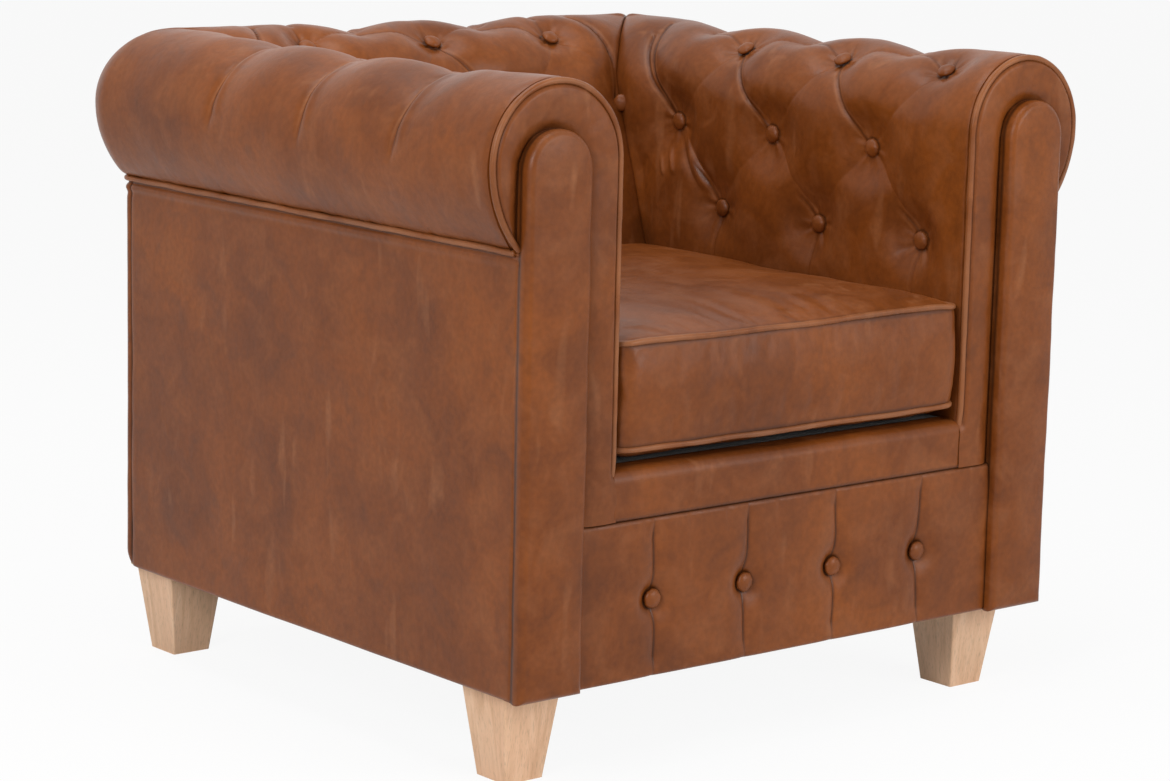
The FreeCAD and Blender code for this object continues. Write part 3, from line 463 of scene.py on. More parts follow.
# Buttoned covers
class Section:
    """Section across an arm or the back. s runs from the roll's centre level up over the roll."""

    def __init__(self, roll_h, face_h):
        self.roll_h, self.face_h = roll_h, face_h
        inward, height = roll_h - face_h, ROLL_Z - KINK_Z
        self.lean = math.atan2(inward, height) - math.asin(ROLL_R / math.hypot(inward, height))
        self.touch = ROLL_R * self.lean
        touch_h = roll_h - ROLL_R * math.cos(self.lean)
        touch_z = ROLL_Z + ROLL_R * math.sin(self.lean)
        self.kink = self.touch - math.hypot(touch_h - face_h, touch_z - KINK_Z)

    def surface(self, s):
        """h, z and the outward normal (nh, nz) at s."""
        turn = s / ROLL_R
        low = (s - math.pi * ROLL_R) / LOW_R
        down = self.touch - s
        sin_l, cos_l = math.sin(self.lean), math.cos(self.lean)
        below = self.kink - s
        cases = [s < self.kink, s < self.touch, s <= math.pi * ROLL_R]
        h = np.select(cases, [self.face_h + 0 * s,
                              self.roll_h - ROLL_R * cos_l - down * sin_l,
                              self.roll_h - ROLL_R * np.cos(turn)],
                      self.roll_h + ROLL_R - LOW_R * (1 - np.cos(low)))
        z = np.select(cases, [KINK_Z - below,
                              ROLL_Z + ROLL_R * sin_l - down * cos_l,
                              ROLL_Z + ROLL_R * np.sin(turn)], ROLL_Z - LOW_R * np.sin(low))
        nh = np.select(cases, [-1 + 0 * s, -cos_l + 0 * s, -np.cos(turn)], np.cos(low))
        nz = np.select(cases, [0 * s, sin_l + 0 * s, np.sin(turn)], -np.sin(low))
        return h, z, nh, nz

    def h_at(self, z, depth):
        """Where the seat side of the section, sunk by depth, lies at height z."""
        radius = ROLL_R - depth
        touch_z = ROLL_Z + radius * math.sin(self.lean)
        down = (touch_z - z) / math.cos(self.lean)
        face = self.roll_h - radius * math.cos(self.lean) - down * math.sin(self.lean)
        face = np.maximum(face, self.face_h + depth)
        round_ = self.roll_h - np.sqrt(np.maximum(radius ** 2 - (z - ROLL_Z) ** 2, 0))
        return np.where(z <= touch_z, face, round_)


ARM = Section(ARM_ROLL_X, ARM_FACE_X)
BACK = Section(BACK_ROLL_Y, BACK_FACE_Y)
S_END = math.pi * ROLL_R + LOW_R * math.asin((ROLL_Z - JUNCTION_Z) / LOW_R)
SEAT_S = -0.330           # s at the lower end of the buttoned covers, under the deck
COVER_FRONT = -0.360      # front end of the arm covers, behind the facing pipings
ROW_HIGH, ROW_MIDDLE, ROW_LOW = 0.082, -0.031, -0.124
VALLEY_END = 0.106        # where the folds meet the valleys over the roll
TUFT = 0.017              # the deepest that the tufting goes
ARM_HIGH = [-0.280, -0.120, 0.040]
ARM_MIDDLE = [-0.200, -0.040, 0.120]
BACK_HIGH = [-0.174, 0.0, 0.174]
BACK_MIDDLE = [-0.087, 0.087]
CORNER_S = -0.017         # s of the corner buttons
NARROW = ROLL_R - LOW_R + math.sqrt(LOW_R ** 2 - (ROLL_Z - JUNCTION_Z) ** 2)


def corner_radius(s):
    """Plan radius of the outside back corner at s."""
    h, z, nh, nz = ARM.surface(s)
    reach = h - ARM_ROLL_X
    share = np.clip((reach - NARROW) / (ROLL_R - NARROW), 0, 1)
    low = CORNER_R + (ROLL_CORNER_R - CORNER_R) * share
    high = ROLL_CORNER_R * np.clip(reach / ROLL_R, 0, 1)
    return np.where(s > math.pi * ROLL_R, low, high)


def seam_depth(s):
    """How far the seam between an arm and the back is drawn in."""
    inner = 0.0090 + 0.0060 * bell((s - CORNER_S) / 0.016)
    outer = 0.0022
    return inner + (outer - inner) * smooth((s - 0.10) / 0.06)


class Tufts:
    """Depth of a buttoned cover below its outline, and the painted shade and highlight of its folds, over (s,
    t).
    """

    def __init__(self, s, t):
        self.s, self.t = s, t
        self.rest = np.ones_like(s)
        self.dip = np.zeros_like(s)
        self.extra = np.zeros_like(s)
        self.crease_highlight = np.zeros_like(s)

    def fold(self, points, depths, width, sharp=1.0, dark=0.0, bow=0.0):
        """A valley along a bowed line. Depths at its start, middle and end; dark sets the painted shade along
        it and the painted highlight beside it.
        """
        (s0, t0), (s1, t1) = points
        across = np.array([t1 - t0, -(s1 - s0)])
        across /= math.hypot(*across)
        stops = np.linspace(0, 1, 9)
        line = [(s0 + (s1 - s0) * k + across[0] * bow * 4 * k * (1 - k),
                 t0 + (t1 - t0) * k + across[1] * bow * 4 * k * (1 - k)) for k in stops]
        s_all, t_all = [p[0] for p in line], [p[1] for p in line]
        near = ((self.s > min(s_all) - width) & (self.s < max(s_all) + width)
                & (self.t > min(t_all) - width) & (self.t < max(t_all) + width))
        if not near.any():
            return
        s, t = self.s[near], self.t[near]
        best, along = np.full(s.shape, 1e9), np.zeros(s.shape)
        for k in range(len(line) - 1):
            (a, b), (c, d) = line[k], line[k + 1]
            length = (c - a) ** 2 + (d - b) ** 2
            share = np.clip(((s - a) * (c - a) + (t - b) * (d - b)) / length, 0, 1)
            away = np.hypot(s - a - share * (c - a), t - b - share * (d - b))
            closer = away < best
            best = np.where(closer, away, best)
            along = np.where(closer, (k + share) / (len(line) - 1), along)
        depth = np.interp(along, [0, 0.5, 1], depths)
        x = np.clip(best / width, 0, 1)
        pillow = rounding(x)
        soft = (1 - x * x) ** 2
        self.rest[near] *= 1 - np.clip(depth / TUFT, 0, 0.97) * (sharp * pillow + (1 - sharp) * soft)
        # Painted shade along the fold's line, and a painted highlight on the leather just beside it.
        if dark:
            crease_shade = dark * bell(best / 0.0017) * np.clip(depth / 0.006, 0, 1)
            edge_highlight_tone = 0.38 * dark * bell((best - 0.0042) / 0.0014) * np.clip(depth / 0.008, 0, 1)
            self.dip[near] = np.maximum(self.dip[near], crease_shade)
            self.crease_highlight[near] = np.maximum(self.crease_highlight[near], edge_highlight_tone)

    def pit(self, s0, t0, depth, width, seed):
        """The dent round a button, with small gathers that run out from it."""
        ds, dt = self.s - s0, self.t - t0
        away = np.hypot(ds, dt)
        beyond = np.maximum(away - 0.008, 0) / width
        self.rest *= 1 - np.clip(depth / TUFT, 0, 0.97) * np.exp(-beyond ** 1.3)
        turn = np.arctan2(ds, dt)
        phase = np.random.RandomState(seed).uniform(0, 6.28, 3)
        wave = (np.sin(7 * turn + phase[0]) + 0.7 * np.sin(11 * turn + phase[1])
                + 0.5 * np.sin(4 * turn + phase[2]))
        self.extra += 0.00055 * wave * bell((away - 0.016) / 0.010)
        # Painted shade in a ring round the button, where it sits in its dent.
        self.dip = np.maximum(self.dip, 0.75 * bell((away - 0.0105) / 0.0016))

    def ridge(self, points, height, width):
        """A small raised fold."""
        (s0, t0), (s1, t1) = points
        length = (s1 - s0) ** 2 + (t1 - t0) ** 2
        share = ((self.s - s0) * (s1 - s0) + (self.t - t0) * (t1 - t0)) / length
        away = np.hypot(self.s - s0 - np.clip(share, 0, 1) * (s1 - s0),
                        self.t - t0 - np.clip(share, 0, 1) * (t1 - t0))
        ends = np.clip(1 - np.abs(2 * np.clip(share, 0, 1) - 1) ** 4, 0, 1)
        self.extra -= height * ends * bell(away / width)

    def tones(self):
        """Painted shade in the folds above 0, and painted highlight on the leather beside them below 0."""
        return self.dip - self.crease_highlight * np.clip(1 - 4 * self.dip, 0, 1)

    def depth(self):
        return TUFT * (1 - self.rest) + self.extra


def tuft_rows(tufts, high, middle, forward, seed):
    """Folds and buttons of the three rows. forward is the side on which the folds are crisp."""
    half = abs(middle[0] - high[0])
    for k, t in enumerate(high):
        tufts.pit(ROW_HIGH, t, 0.0145, 0.012, seed + k)
        tufts.pit(ROW_LOW, t, TUFT, 0.013, seed + 20 + k)
        tufts.fold([(ROW_LOW, t), (-0.215, t + forward * 0.006)], [0.010, 0.005, 0.003],
                   0.050, 0.55, 0.2, 0.004)
        tufts.fold([(ROW_HIGH + 0.008, t), (ROW_HIGH + 0.034, t - forward * 0.003)], [0.0060, 0.0040, 0.0002],
                   0.011, 1.0, 0.5)
        tufts.ridge([(ROW_HIGH + 0.010, t + forward * 0.010), (ROW_HIGH - 0.012, t + forward * 0.013)],
                    0.0022, 0.0045)
        for side in (-1, 1):
            if not middle[0] - 1.6 * half < t + side * half < middle[-1] + 1.6 * half:
                continue
            tufts.fold([(ROW_HIGH, t), (VALLEY_END + 0.006, t + side * half)], [0.010, 0.0065, 0.0080],
                       0.040, 0.75, 0.0 if side == forward else 0.3, 0.004 * side)
    for k, t in enumerate(middle):
        lean = np.random.RandomState(seed + 60 + k).uniform(-0.003, 0.003, 2)
        tufts.pit(ROW_MIDDLE, t, TUFT, 0.013, seed + 40 + k)
        tufts.fold([(VALLEY_END, t), (0.160, t)], [0.0080, 0.0100, 0.0100], 0.078, 0.75)
        tufts.fold([(0.160, t), (0.268, t + forward * 0.004)], [0.0100, 0.0070, 0.0002], 0.078, 0.8)
        tufts.fold([(0.126, t + lean[0]), (0.262, t + forward * 0.007 + lean[1])], [0.0040, 0.0120, 0.0004],
                   0.014, 1.0, 0.9, 0.003)
        tufts.ridge([(0.130, t + lean[0] + forward * 0.009), (0.250, t + forward * 0.016 + lean[1])],
                    0.0022, 0.0070)
        tufts.fold([(0.124, t + forward * 0.006), (0.134, t + forward * 0.024)], [0.0020, 0.0030, 0.0002],
                   0.006, 1.0, 0.2)
    for k, t in enumerate(middle):
        for side in (-1, 1):
            line = [(ROW_MIDDLE, t), (ROW_HIGH, t + side * half)]
            if side == forward:
                tufts.fold(line, [0.0120, 0.0066, 0.0110], 0.060, 0.45, 0.0, -0.008 * side)
                first = k == (len(middle) - 1 if side < 0 else 0)
                tufts.fold([(ROW_MIDDLE, t), (ROW_LOW, t + side * half)],
                           [0.0130, 0.0110 if first else 0.0060, 0.0140], 0.052, 0.9 if first else 0.45, 0.0,
                           0.007 * side)
                near = 0.60 if first else 0.36
                tufts.fold([(ROW_LOW, t + side * half),
                            (ROW_LOW + (ROW_MIDDLE - ROW_LOW) * near, t + side * half * (1 - near))],
                           [0.0110, 0.0070, 0.0006], 0.014, 1.0, 0.5, -0.002 * side)
            else:
                tufts.fold(line, [0.0135, 0.0100, 0.0110], 0.046, 0.9, 0.55, -0.008 * side)
                tufts.fold([(ROW_MIDDLE, t), (ROW_LOW, t + side * half)], [0.0120, 0.0066, 0.0120],
                           0.060, 0.4, 0.0, 0.004 * side)
            tufts.fold([(ROW_MIDDLE + 0.004, t + side * 0.006), (ROW_MIDDLE + 0.028, t + side * 0.018)],
                       [0.0050, 0.0030, 0.0002], 0.008, 1.0, 0.25)
        tufts.fold([(ROW_MIDDLE - 0.004, t - forward * 0.010), (ROW_MIDDLE - 0.014, t - forward * 0.032)],
                   [0.0040, 0.0024, 0.0002], 0.007, 1.0, 0.2)
    for t in high:
        tufts.fold([(ROW_LOW - 0.005, t - forward * 0.010), (ROW_LOW - 0.016, t - forward * 0.028)],
                   [0.0040, 0.0024, 0.0002], 0.007, 1.0, 0.2)


def cover_lines(section, other):
    """The lines of a cover from the seat to the welt: s, its surface, its seam and its outside corner."""
    s = np.linspace(SEAT_S, S_END, 340)
    h, z, nh, nz = section.surface(s)
    sunk = seam_depth(s)
    inner = other.h_at(z - nz * sunk, sunk)
    radius = corner_radius(s)
    outer = s > math.pi / 2 * ROLL_R
    straight = np.where(outer, other.roll_h + (h - section.roll_h) - radius, inner)
    length = straight + np.where(outer, radius * math.pi / 4, 0)
    return s, (h, z, nh, nz), sunk, radius, outer, straight, length


def warped_tufts(s, t, seed):
    return Tufts(s + 0.0012 * clouds(s, t, 0.035, seed + 90), t + 0.0015 * clouds(s, t, 0.040, seed + 91))


def drawn_in(depth, to_end, sunk, outer):
    """The cover drawn in to the seam with its neighbour, and how free of the seam each point is."""
    free = smooth(to_end / np.where(outer, 0.006, 0.020)[:, None])
    wide = np.where(outer, 0.014, 0.048)[:, None]
    return depth * free + sunk[:, None] * rounding(to_end / wide), free


def gathered(depth, s, t, seed):
    """Adds the gathers along the welt and the slight unevenness of stuffed leather."""
    to_welt = S_END - s
    depth = depth + 0.0024 * bell(to_welt / 0.006)
    pucker = np.clip(clouds(s * 0.3, t, 0.011, seed + 92), 0, 1) * bell(to_welt / 0.022)
    depth = depth + 0.0011 * pucker
    return depth + 0.00055 * clouds(s, t, 0.055, seed + 93) + 0.00022 * clouds(s, t, 0.019, seed + 94)


def turn_corner(t, h, straight, radius, outer):
    """Angle round the outside back corner at t, and the place across and along before the cover's depth."""
    r = radius[:, None]
    phi = np.where(outer[:, None], np.clip((t - straight[:, None]) / np.maximum(r, 1e-5), 0, math.pi / 4), 0)
    on_arc = outer[:, None] & (t > straight[:, None])
    across = np.where(on_arc, h[:, None] - r + r * np.cos(phi), h[:, None])
    along = np.where(on_arc, straight[:, None] + r * np.sin(phi), t)
    return phi, across, along


def with_painted_seam_shade(dip, edges):
    """Painted shade lines along edges, each given as distance, reach, darkness and width."""
    for away, reach, dark, width in edges:
        dip = np.where(away < reach, np.maximum(dip, dark * bell(away / width)), dip)
    return dip


def arm_cover(side, seed):
    s_line, (h, z, nh, nz), sunk, radius, outer, straight, length = cover_lines(ARM, BACK)
    share = np.linspace(0, 1, 390)
    share = share + 0.035 * np.sin(2 * math.pi * share) / (2 * math.pi)
    length = length - COVER_FRONT
    t = COVER_FRONT + share[None, :] * length[:, None]
    s = np.repeat(s_line[:, None], len(share), 1)

    tufts = warped_tufts(s, t, seed)
    tuft_rows(tufts, ARM_HIGH, ARM_MIDDLE, -1, seed)
    tufts.fold([(0.112, 0.196), (ROW_MIDDLE, 0.120)], [0.006, 0.0085, 0.012], 0.045, 0.9, 0.7, 0.010)
    tufts.ridge([(-0.044, 0.104), (-0.108, 0.060)], 0.0022, 0.0050)
    tufts.fold([(-0.045, 0.113), (-0.106, 0.070)], [0.004, 0.0060, 0.002], 0.012, 0.8, 0.3)
    tufts.ridge([(-0.062, 0.128), (-0.092, 0.112)], 0.0022, 0.0032)
    tufts.ridge([(-0.072, 0.140), (-0.096, 0.130)], 0.0020, 0.0028)

    to_end = length[:, None] * (1 - share[None, :])
    depth, free = drawn_in(tufts.depth(), to_end, sunk, outer)
    to_front = t - COVER_FRONT
    depth = depth * smooth((to_front + 0.004) / 0.020) + 0.0052 * rounding(to_front / 0.013)
    depth = np.where(to_end < 0.0001, sunk[:, None], gathered(depth, s, t, seed))

    phi, across, along = turn_corner(t, h, straight, radius, outer)
    points = np.stack([across - nh[:, None] * np.cos(phi) * depth, along - nh[:, None] * np.sin(phi) * depth,
                       z[:, None] - nz[:, None] * depth], 2)
    # Painted shade along the seams with the back, the facing's piping and the welt, added to the folds'
    # painted shade and highlight.
    dip = with_painted_seam_shade(tufts.tones() * free, [(to_end, 0.005, 0.85, 0.0018), (to_front, 0.005, 0.7, 0.0016),
                                          (S_END - s, 0.006, 0.85, 0.0022)])
    return leather_piece(points, dip, "arm_cover_padding_" + side, "arm_cover_" + side, side == "left")


def back_cover(seed):
    s_line, (h, z, nh, nz), sunk, radius, outer, straight, length = cover_lines(BACK, ARM)
    share = np.linspace(-1, 1, 391)
    t = share[None, :] * length[:, None]
    s = np.repeat(s_line[:, None], len(share), 1)

    tufts = warped_tufts(s, t, seed)
    tuft_rows(tufts, BACK_HIGH, BACK_MIDDLE, 1, seed)
    for side in (-1, 1):
        tufts.fold([(ROW_HIGH, side * 0.174), (0.030, side * 0.225)], [0.010, 0.005, 0.001], 0.040, 0.6)
        tufts.fold([(0.122, side * 0.226), (CORNER_S + 0.006, side * 0.240)], [0.0060, 0.0090, 0.0060], 0.024,
                   1.0, 0.7, 0.010 * side)
        tufts.fold([(0.122, side * 0.174), (0.205, side * 0.172)], [0.0040, 0.0060, 0.0003], 0.020, 1.0, 0.4)

    to_end = length[:, None] * (1 - np.abs(share[None, :]))
    depth, free = drawn_in(tufts.depth(), to_end, sunk, outer)
    depth = np.where(to_end < 0.0001, sunk[:, None], gathered(depth, s, t, seed))

    side = np.sign(t)
    phi, across, along = turn_corner(np.abs(t), h, straight, radius, outer)
    points = np.stack([side * (along - nh[:, None] * np.sin(phi) * depth),
                       across - nh[:, None] * np.cos(phi) * depth, z[:, None] - nz[:, None] * depth], 2)
    # Painted shade along the seams with the arms and the welt, added to the folds' painted shade and
    # highlight.
    dip = with_painted_seam_shade(tufts.tones() * free, [(to_end, 0.005, 0.85, 0.0018), (S_END - s, 0.006, 0.85, 0.0022)])
    return leather_piece(points, dip, "back_cover_padding", "back_cover")


# Buttons
def button_points(seat, normal, seed):
    """Grid of a leather-covered button: domed, slightly uneven, its rim turned under."""
    normal = Vector(normal).normalized()
    side = normal.orthogonal().normalized()
    up = normal.cross(side)
    phase = np.random.RandomState(seed).uniform(0, 6.28, 4)
    turns = np.linspace(0, 2 * math.pi, 40, endpoint=False)
    outline = [(0.0078, -0.0004), (0.0094, 0.0004), (0.0101, 0.0018), (0.0100, 0.0030), (0.0092, 0.0044),
               (0.0076, 0.0056), (0.0056, 0.0065), (0.0034, 0.0070), (0.0014, 0.0072), (0.0, 0.00725)]
    rows = []
    for radius, height in outline:
        ring = []
        for turn in turns:
            edge = radius / 0.01
            wave = 1 + edge * (0.018 * math.sin(5 * turn + phase[0]) + 0.015 * math.sin(9 * turn + phase[1]))
            lift = height + 0.00025 * edge * math.sin(3 * turn + phase[2])
            r = radius * wave
            ring.append(Vector(seat) + side * (r * math.cos(turn)) + up * (r * math.sin(turn))
                        + normal * lift)
        rows.append([tuple(p) for p in ring])
    # Painted shade on the rim turned under, fading up the dome.
    dip = np.repeat(np.array([0.8, 0.6, 0.15] + [0.0] * 7)[:, None], len(turns), 1)
    return np.array(rows), dip


def seats(section, places, axis):
    """Seat and normal of each button of a cover. axis tells an arm ("y") from the back ("x")."""
    found = []
    for s, t in places:
        h, z, nh, nz = [float(v) for v in section.surface(np.array(s))]
        depth = 0.0138 if s == ROW_HIGH else 0.0182
        seat = (h - nh * depth, t, z - nz * depth) if axis == "y" else (t, h - nh * depth, z - nz * depth)
        found.append((seat, (nh, 0, nz) if axis == "y" else (0, nh, nz)))
    return found


def button_piece(name, places, replaced, mirrored=False):
    build = Build()
    for k, (seat, normal) in enumerate(places):
        points, dip = button_points(seat, normal, k + len(name))
        build.grid(points, dip, close_columns=True)
    return build.piece(name, LEATHER, "chair", [replaced], mirrored)


# Pipings
def tube(build, path, radius, closed=False, around=14, seed=0, uneven=0.05, pale=True):
    """A piping along a line of points."""
    path = np.asarray(path, float)
    n = len(path)
    if closed:
        tangent = np.roll(path, -1, 0) - np.roll(path, 1, 0)
    else:
        tangent = np.gradient(path, axis=0)
    tangent /= np.linalg.norm(tangent, axis=1)[:, None]
    normal = np.zeros_like(path)
    first = Vector(tangent[0]).orthogonal().normalized()
    normal[0] = first
    for k in range(1, n):
        v = normal[k - 1] - tangent[k] * normal[k - 1].dot(tangent[k])
        normal[k] = v / np.linalg.norm(v)
    if closed:
        v = normal[-1] - tangent[0] * normal[-1].dot(tangent[0])
        v /= np.linalg.norm(v)
        twist = math.atan2(np.cross(normal[0], v).dot(tangent[0]), normal[0].dot(v))
        spin = -twist * np.arange(n) / n
    else:
        spin = np.zeros(n)
    side = np.cross(tangent, normal)
    step = run(path)
    turns = np.linspace(0, 2 * math.pi, around, endpoint=False)
    size = radius * (1 + uneven * clouds(step, step * 0, 0.013, 300 + seed))
    angle = turns[None, :] + spin[:, None]
    points = (path[:, None, :] + size[:, None, None] * (normal[:, None, :] * np.cos(angle)[:, :, None]
                                                         + side[:, None, :] * np.sin(angle)[:, :, None]))
    # Pipings paler, partly from wear and partly as a painted highlight.
    highlight_and_wear = -0.22 - 0.16 * clouds(step, step * 0, 0.03, 330 + seed) if pale else step * 0
    build.grid(points, np.repeat(highlight_and_wear[:, None], around, 1), close_rows=closed, close_columns=True)
    if not closed:
        for end, ring in ((0, points[0]), (-1, points[-1])):
            cap = np.concatenate([ring, path[end][None, :]])
            build.add(cap, [(k, (k + 1) % around, around) for k in range(around)])


def resample(points, step):
    points = np.asarray(points, float)
    lengths = run(points)
    places = np.linspace(0, lengths[-1], max(3, int(lengths[-1] / step)))
    return np.stack([np.interp(places, lengths, points[:, k]) for k in range(3)], 1)


def arc_points(centre, radius, start, end, count):
    turns = np.radians(np.linspace(start, end, count))
    return [(centre[0] + radius * math.cos(a), centre[1] + radius * math.sin(a)) for a in turns]


# Facings and raised panels
ARCH = (0.3275, 0.6125)   # centre of the raised panel's arch in x and z
ARCH_R = 0.0395
SIDE_POINTS, ARCH_POINTS, INNER_POINTS = 24, 90, 90     # along both outlines of a facing


def roll_outline():
    """Outline of the front of an arm in x and z, from the junction over the roll to the border seam."""
    low = math.asin((ROLL_Z - JUNCTION_Z) / LOW_R)
    points = [(ARM_ROLL_X + ROLL_R - LOW_R * (1 - math.cos(a)), ROLL_Z - LOW_R * math.sin(a))
              for a in np.linspace(low, 0, SIDE_POINTS)]
    points += arc_points((ARM_ROLL_X, ROLL_Z), ROLL_R, 0, 180, ARCH_POINTS)[1:]
    points += [(ARM_FACE_X, z) for z in np.linspace(ROLL_Z, SEAM_Z, INNER_POINTS)[1:]]
    return np.array(points)


def panel_outline():
    """The raised panel's outline at the points that match roll_outline."""
    points = [(SIDE_X, z) for z in np.linspace(JUNCTION_Z, ARCH[1], SIDE_POINTS)]
    points += arc_points(ARCH, ARCH_R, 0, 180, ARCH_POINTS)[1:]
    points += [(ARCH[0] - ARCH_R, z) for z in np.linspace(ARCH[1], SEAM_Z, INNER_POINTS)[1:]]
    return np.array(points)


def facing(side, seed):
    outer, inner = roll_outline(), panel_outline()
    toward = np.array(ARCH) - inner
    inner = inner + 0.004 * toward / np.linalg.norm(toward, axis=1)[:, None]
    below_arch = SIDE_POINTS + ARCH_POINTS - 1
    inner[:SIDE_POINTS, 0] = SIDE_X - 0.003
    inner[below_arch - 1:, 0] = ARCH[0] - ARCH_R + 0.003
    inner[below_arch:, 1] = panel_outline()[below_arch:, 1]
    steps = stations(0, (0.3, 9), (0.8, 8), (1, 7))
    points, dips = [], []
    gap = np.linalg.norm(inner - outer, axis=1)
    along = run(outer)
    for w in steps:
        flat = outer * (1 - w) + inner * w
        from_edge, to_panel = gap * w, gap * (1 - w) - 0.0035
        low = smooth((flat[:, 1] - 0.300) / 0.014)
        y = -0.3583 - 0.0071 * (1 - low + low * smooth((from_edge - 0.0015) / 0.0085))
        y -= 0.0012 * np.clip(from_edge / 0.020, 0, 1) * np.clip(to_panel / 0.014, 0, 1)
        sink = 0.0048 * np.exp(-(np.maximum(to_panel, 0) / 0.0060) ** 1.5)
        sink += 0.0014 * bell(np.maximum(to_panel, 0) / 0.020)
        y += np.minimum(sink, 0.0062)
        y += 0.0005 * clouds(along, from_edge, 0.018, seed)
        y += 0.0007 * clouds(along, from_edge, 0.06, seed + 1)
        points.append(np.stack([flat[:, 0], y, flat[:, 1]], 1))
        # Painted shade beside the raised panel and along the piping's seam.
        dips.append(np.maximum(0.7 * bell(np.maximum(to_panel, 0) / 0.0018),
                               0.5 * low * bell((from_edge - 0.0060) / 0.0012)))
    return leather_piece(points, dips, "arm_facing_pad_" + side, "arm_facing_" + side, side == "left")


def raised_panel(side, seed):
    points, dips = [], []
    round_ = 0.008

    def ring(inset):
        r = max(ARCH_R - inset, 0.0)
        left = [(ARCH[0] - r, z) for z in np.linspace(BASE_Z + inset, ARCH[1], 200)]
        arch = arc_points(ARCH, r, 180, 0, 61)[1:-1]
        right = [(ARCH[0] + r, z) for z in np.linspace(ARCH[1], BASE_Z + inset, 200)]
        base = [(x, BASE_Z + inset) for x in np.linspace(ARCH[0] + r, ARCH[0] - r, 20)[1:-1]]
        return np.array(left + arch + right + base)

    levels = [(0.0012, -0.3525), (0.0010, -0.3600), (0.0008, -0.3640), (0.0003, -0.3658), (0.0, -0.3680)]
    for turn in np.linspace(0, 90, 9)[1:]:
        a = math.radians(turn)
        levels.append((round_ * (1 - math.cos(a)), -0.371 - round_ * math.sin(a)))
    for inset in np.linspace(round_, ARCH_R, 14)[1:]:
        dome = (inset - round_) / (ARCH_R - round_)
        levels.append((inset, -0.379 - 0.0022 * (1 - (1 - dome) ** 2)))
    for inset, y in levels:
        flat = ring(inset)
        rows = y + 0.0007 * clouds(flat[:, 0], flat[:, 1], 0.060, seed) * (inset > 0.001)
        rows = rows + 0.0003 * clouds(flat[:, 0], flat[:, 1], 0.018, seed + 1) * (inset > 0.001)
        wave = 0.0004 * clouds(flat[:, 1], flat[:, 0] * 0, 0.05, seed + 2)
        out = np.where(flat[:, 0] > ARCH[0], 1, -1) * (flat[:, 1] > BASE_Z + 0.01) * (flat[:, 1] < ARCH[1])
        points.append(np.stack([flat[:, 0] + wave * out, rows, flat[:, 1]], 1))
        # Painted shade at the panel's base, where it meets the facing.
        seam_shade = 0.85 * math.exp(-((y + 0.3645) / 0.0018) ** 2) if inset < 0.002 else 0.0
        dips.append(np.full(len(flat), seam_shade))
    return leather_piece(points, dips, "raised_panel_pad_" + side, "raised_panel_" + side, side == "left",
                         True)


# Outside panels
def outside_panel(path, normals, seed, name, replaced, mirrored=False, front_seam=False, corners=()):
    """Leather stretched over the frame outside, from the roll's welt down to the base."""
    path, normals = np.asarray(path), np.asarray(normals)
    along = run(path)
    z = stations(BASE_Z, (BASE_Z + 0.012, 7), (0.500, 110), (JUNCTION_Z, 26))
    a, zz = np.meshgrid(along, z)
    swell = 0.0006 * clouds(a, zz, 0.11, seed) + 0.0003 * clouds(a, zz * 1.6, 0.038, seed + 1)
    swell -= 0.0042 * rounding((zz - BASE_Z) / 0.005)
    below = JUNCTION_Z - zz
    fade = 0.35 + 0.65 * smooth(a / max(along[-1], 0.01) * 2.2) if front_seam else 1.0
    swell += 0.0013 * fade * bell((below - 0.0105) / 0.0032)
    swell -= 0.0022 * bell((below - 0.0045) / 0.0022)
    swell -= 0.0007 * fade * bell((below - 0.0165) / 0.0035)
    for centre in corners:
        turned = bell((a - centre) / 0.020)
        swell -= 0.0075 * turned * np.clip(1 - (zz - BASE_Z) / 0.020, 0, 1) ** 2
    for away in (a, along[-1] - a):
        swell -= 0.0024 * bell(away / 0.0030)
    points = np.stack([path[None, :, 0] + normals[None, :, 0] * swell,
                       path[None, :, 1] + normals[None, :, 1] * swell, zz], 2)
    # Painted shade just under the roll's welt and along both ends of the panel.
    dip = 0.6 * bell((below - 0.0038) / 0.0014)
    for away in (a, along[-1] - a):
        dip = np.maximum(dip, 0.85 * bell(away / 0.0016))
    return leather_piece(points, dip, name, replaced, mirrored)


def outside_arm(side, seed):
    path = [(SIDE_X, y) for y in stations(BORDER_Y, (-0.350, 10), (0.318, 190), (0.3225, 5))]
    return outside_panel(path, [(1, 0)] * len(path), seed, "outside_arm_leather_" + side,
                         "outside_arm_" + side, side == "left", front_seam=True)


def outside_back(seed):
    inset = SIDE_X - CORNER_R
    path, normals = [], []

    def corner(x, start):
        for a in [math.radians(turn) for turn in np.linspace(start, start + 90, 14)]:
            path.append((x + CORNER_R * math.cos(a), BACK_Y - CORNER_R + CORNER_R * math.sin(a)))
            normals.append((math.cos(a), math.sin(a)))

    corner(inset, 0)
    for x in np.linspace(inset, -inset, 180)[1:-1]:
        path.append((x, BACK_Y))
        normals.append((0, 1))
    corner(-inset, 90)
    return outside_panel(path, normals, seed, "outside_back_leather", "outside_back", corners=(0.017, 0.742))


def roll_welt():
    inset = SIDE_X - CORNER_R
    path = [(SIDE_X, -0.358)] + [(SIDE_X, y) for y in np.linspace(-0.35, BACK_Y - CORNER_R, 60)]
    path += arc_points((inset, BACK_Y - CORNER_R), CORNER_R, 0, 90, 12)[1:]
    path += [(x, BACK_Y) for x in np.linspace(inset, -inset, 60)[1:]]
    path += arc_points((-inset, BACK_Y - CORNER_R), CORNER_R, 90, 180, 12)[1:]
    path += [(-SIDE_X, y) for y in np.linspace(BACK_Y - CORNER_R, -0.358, 60)[1:]]
    path = resample([(x, y, JUNCTION_Z) for x, y in path], 0.003)
    path[:, 2] += 0.0004 * clouds(path[:, 0] + path[:, 1] * 1.7, path[:, 0] * 0, 0.05, 5)
    build = Build()
    tube(build, path, 0.0031, seed=3, uneven=0.07)
    return build.piece("roll_welt_cord", LEATHER, "chair", ["roll_welt"])


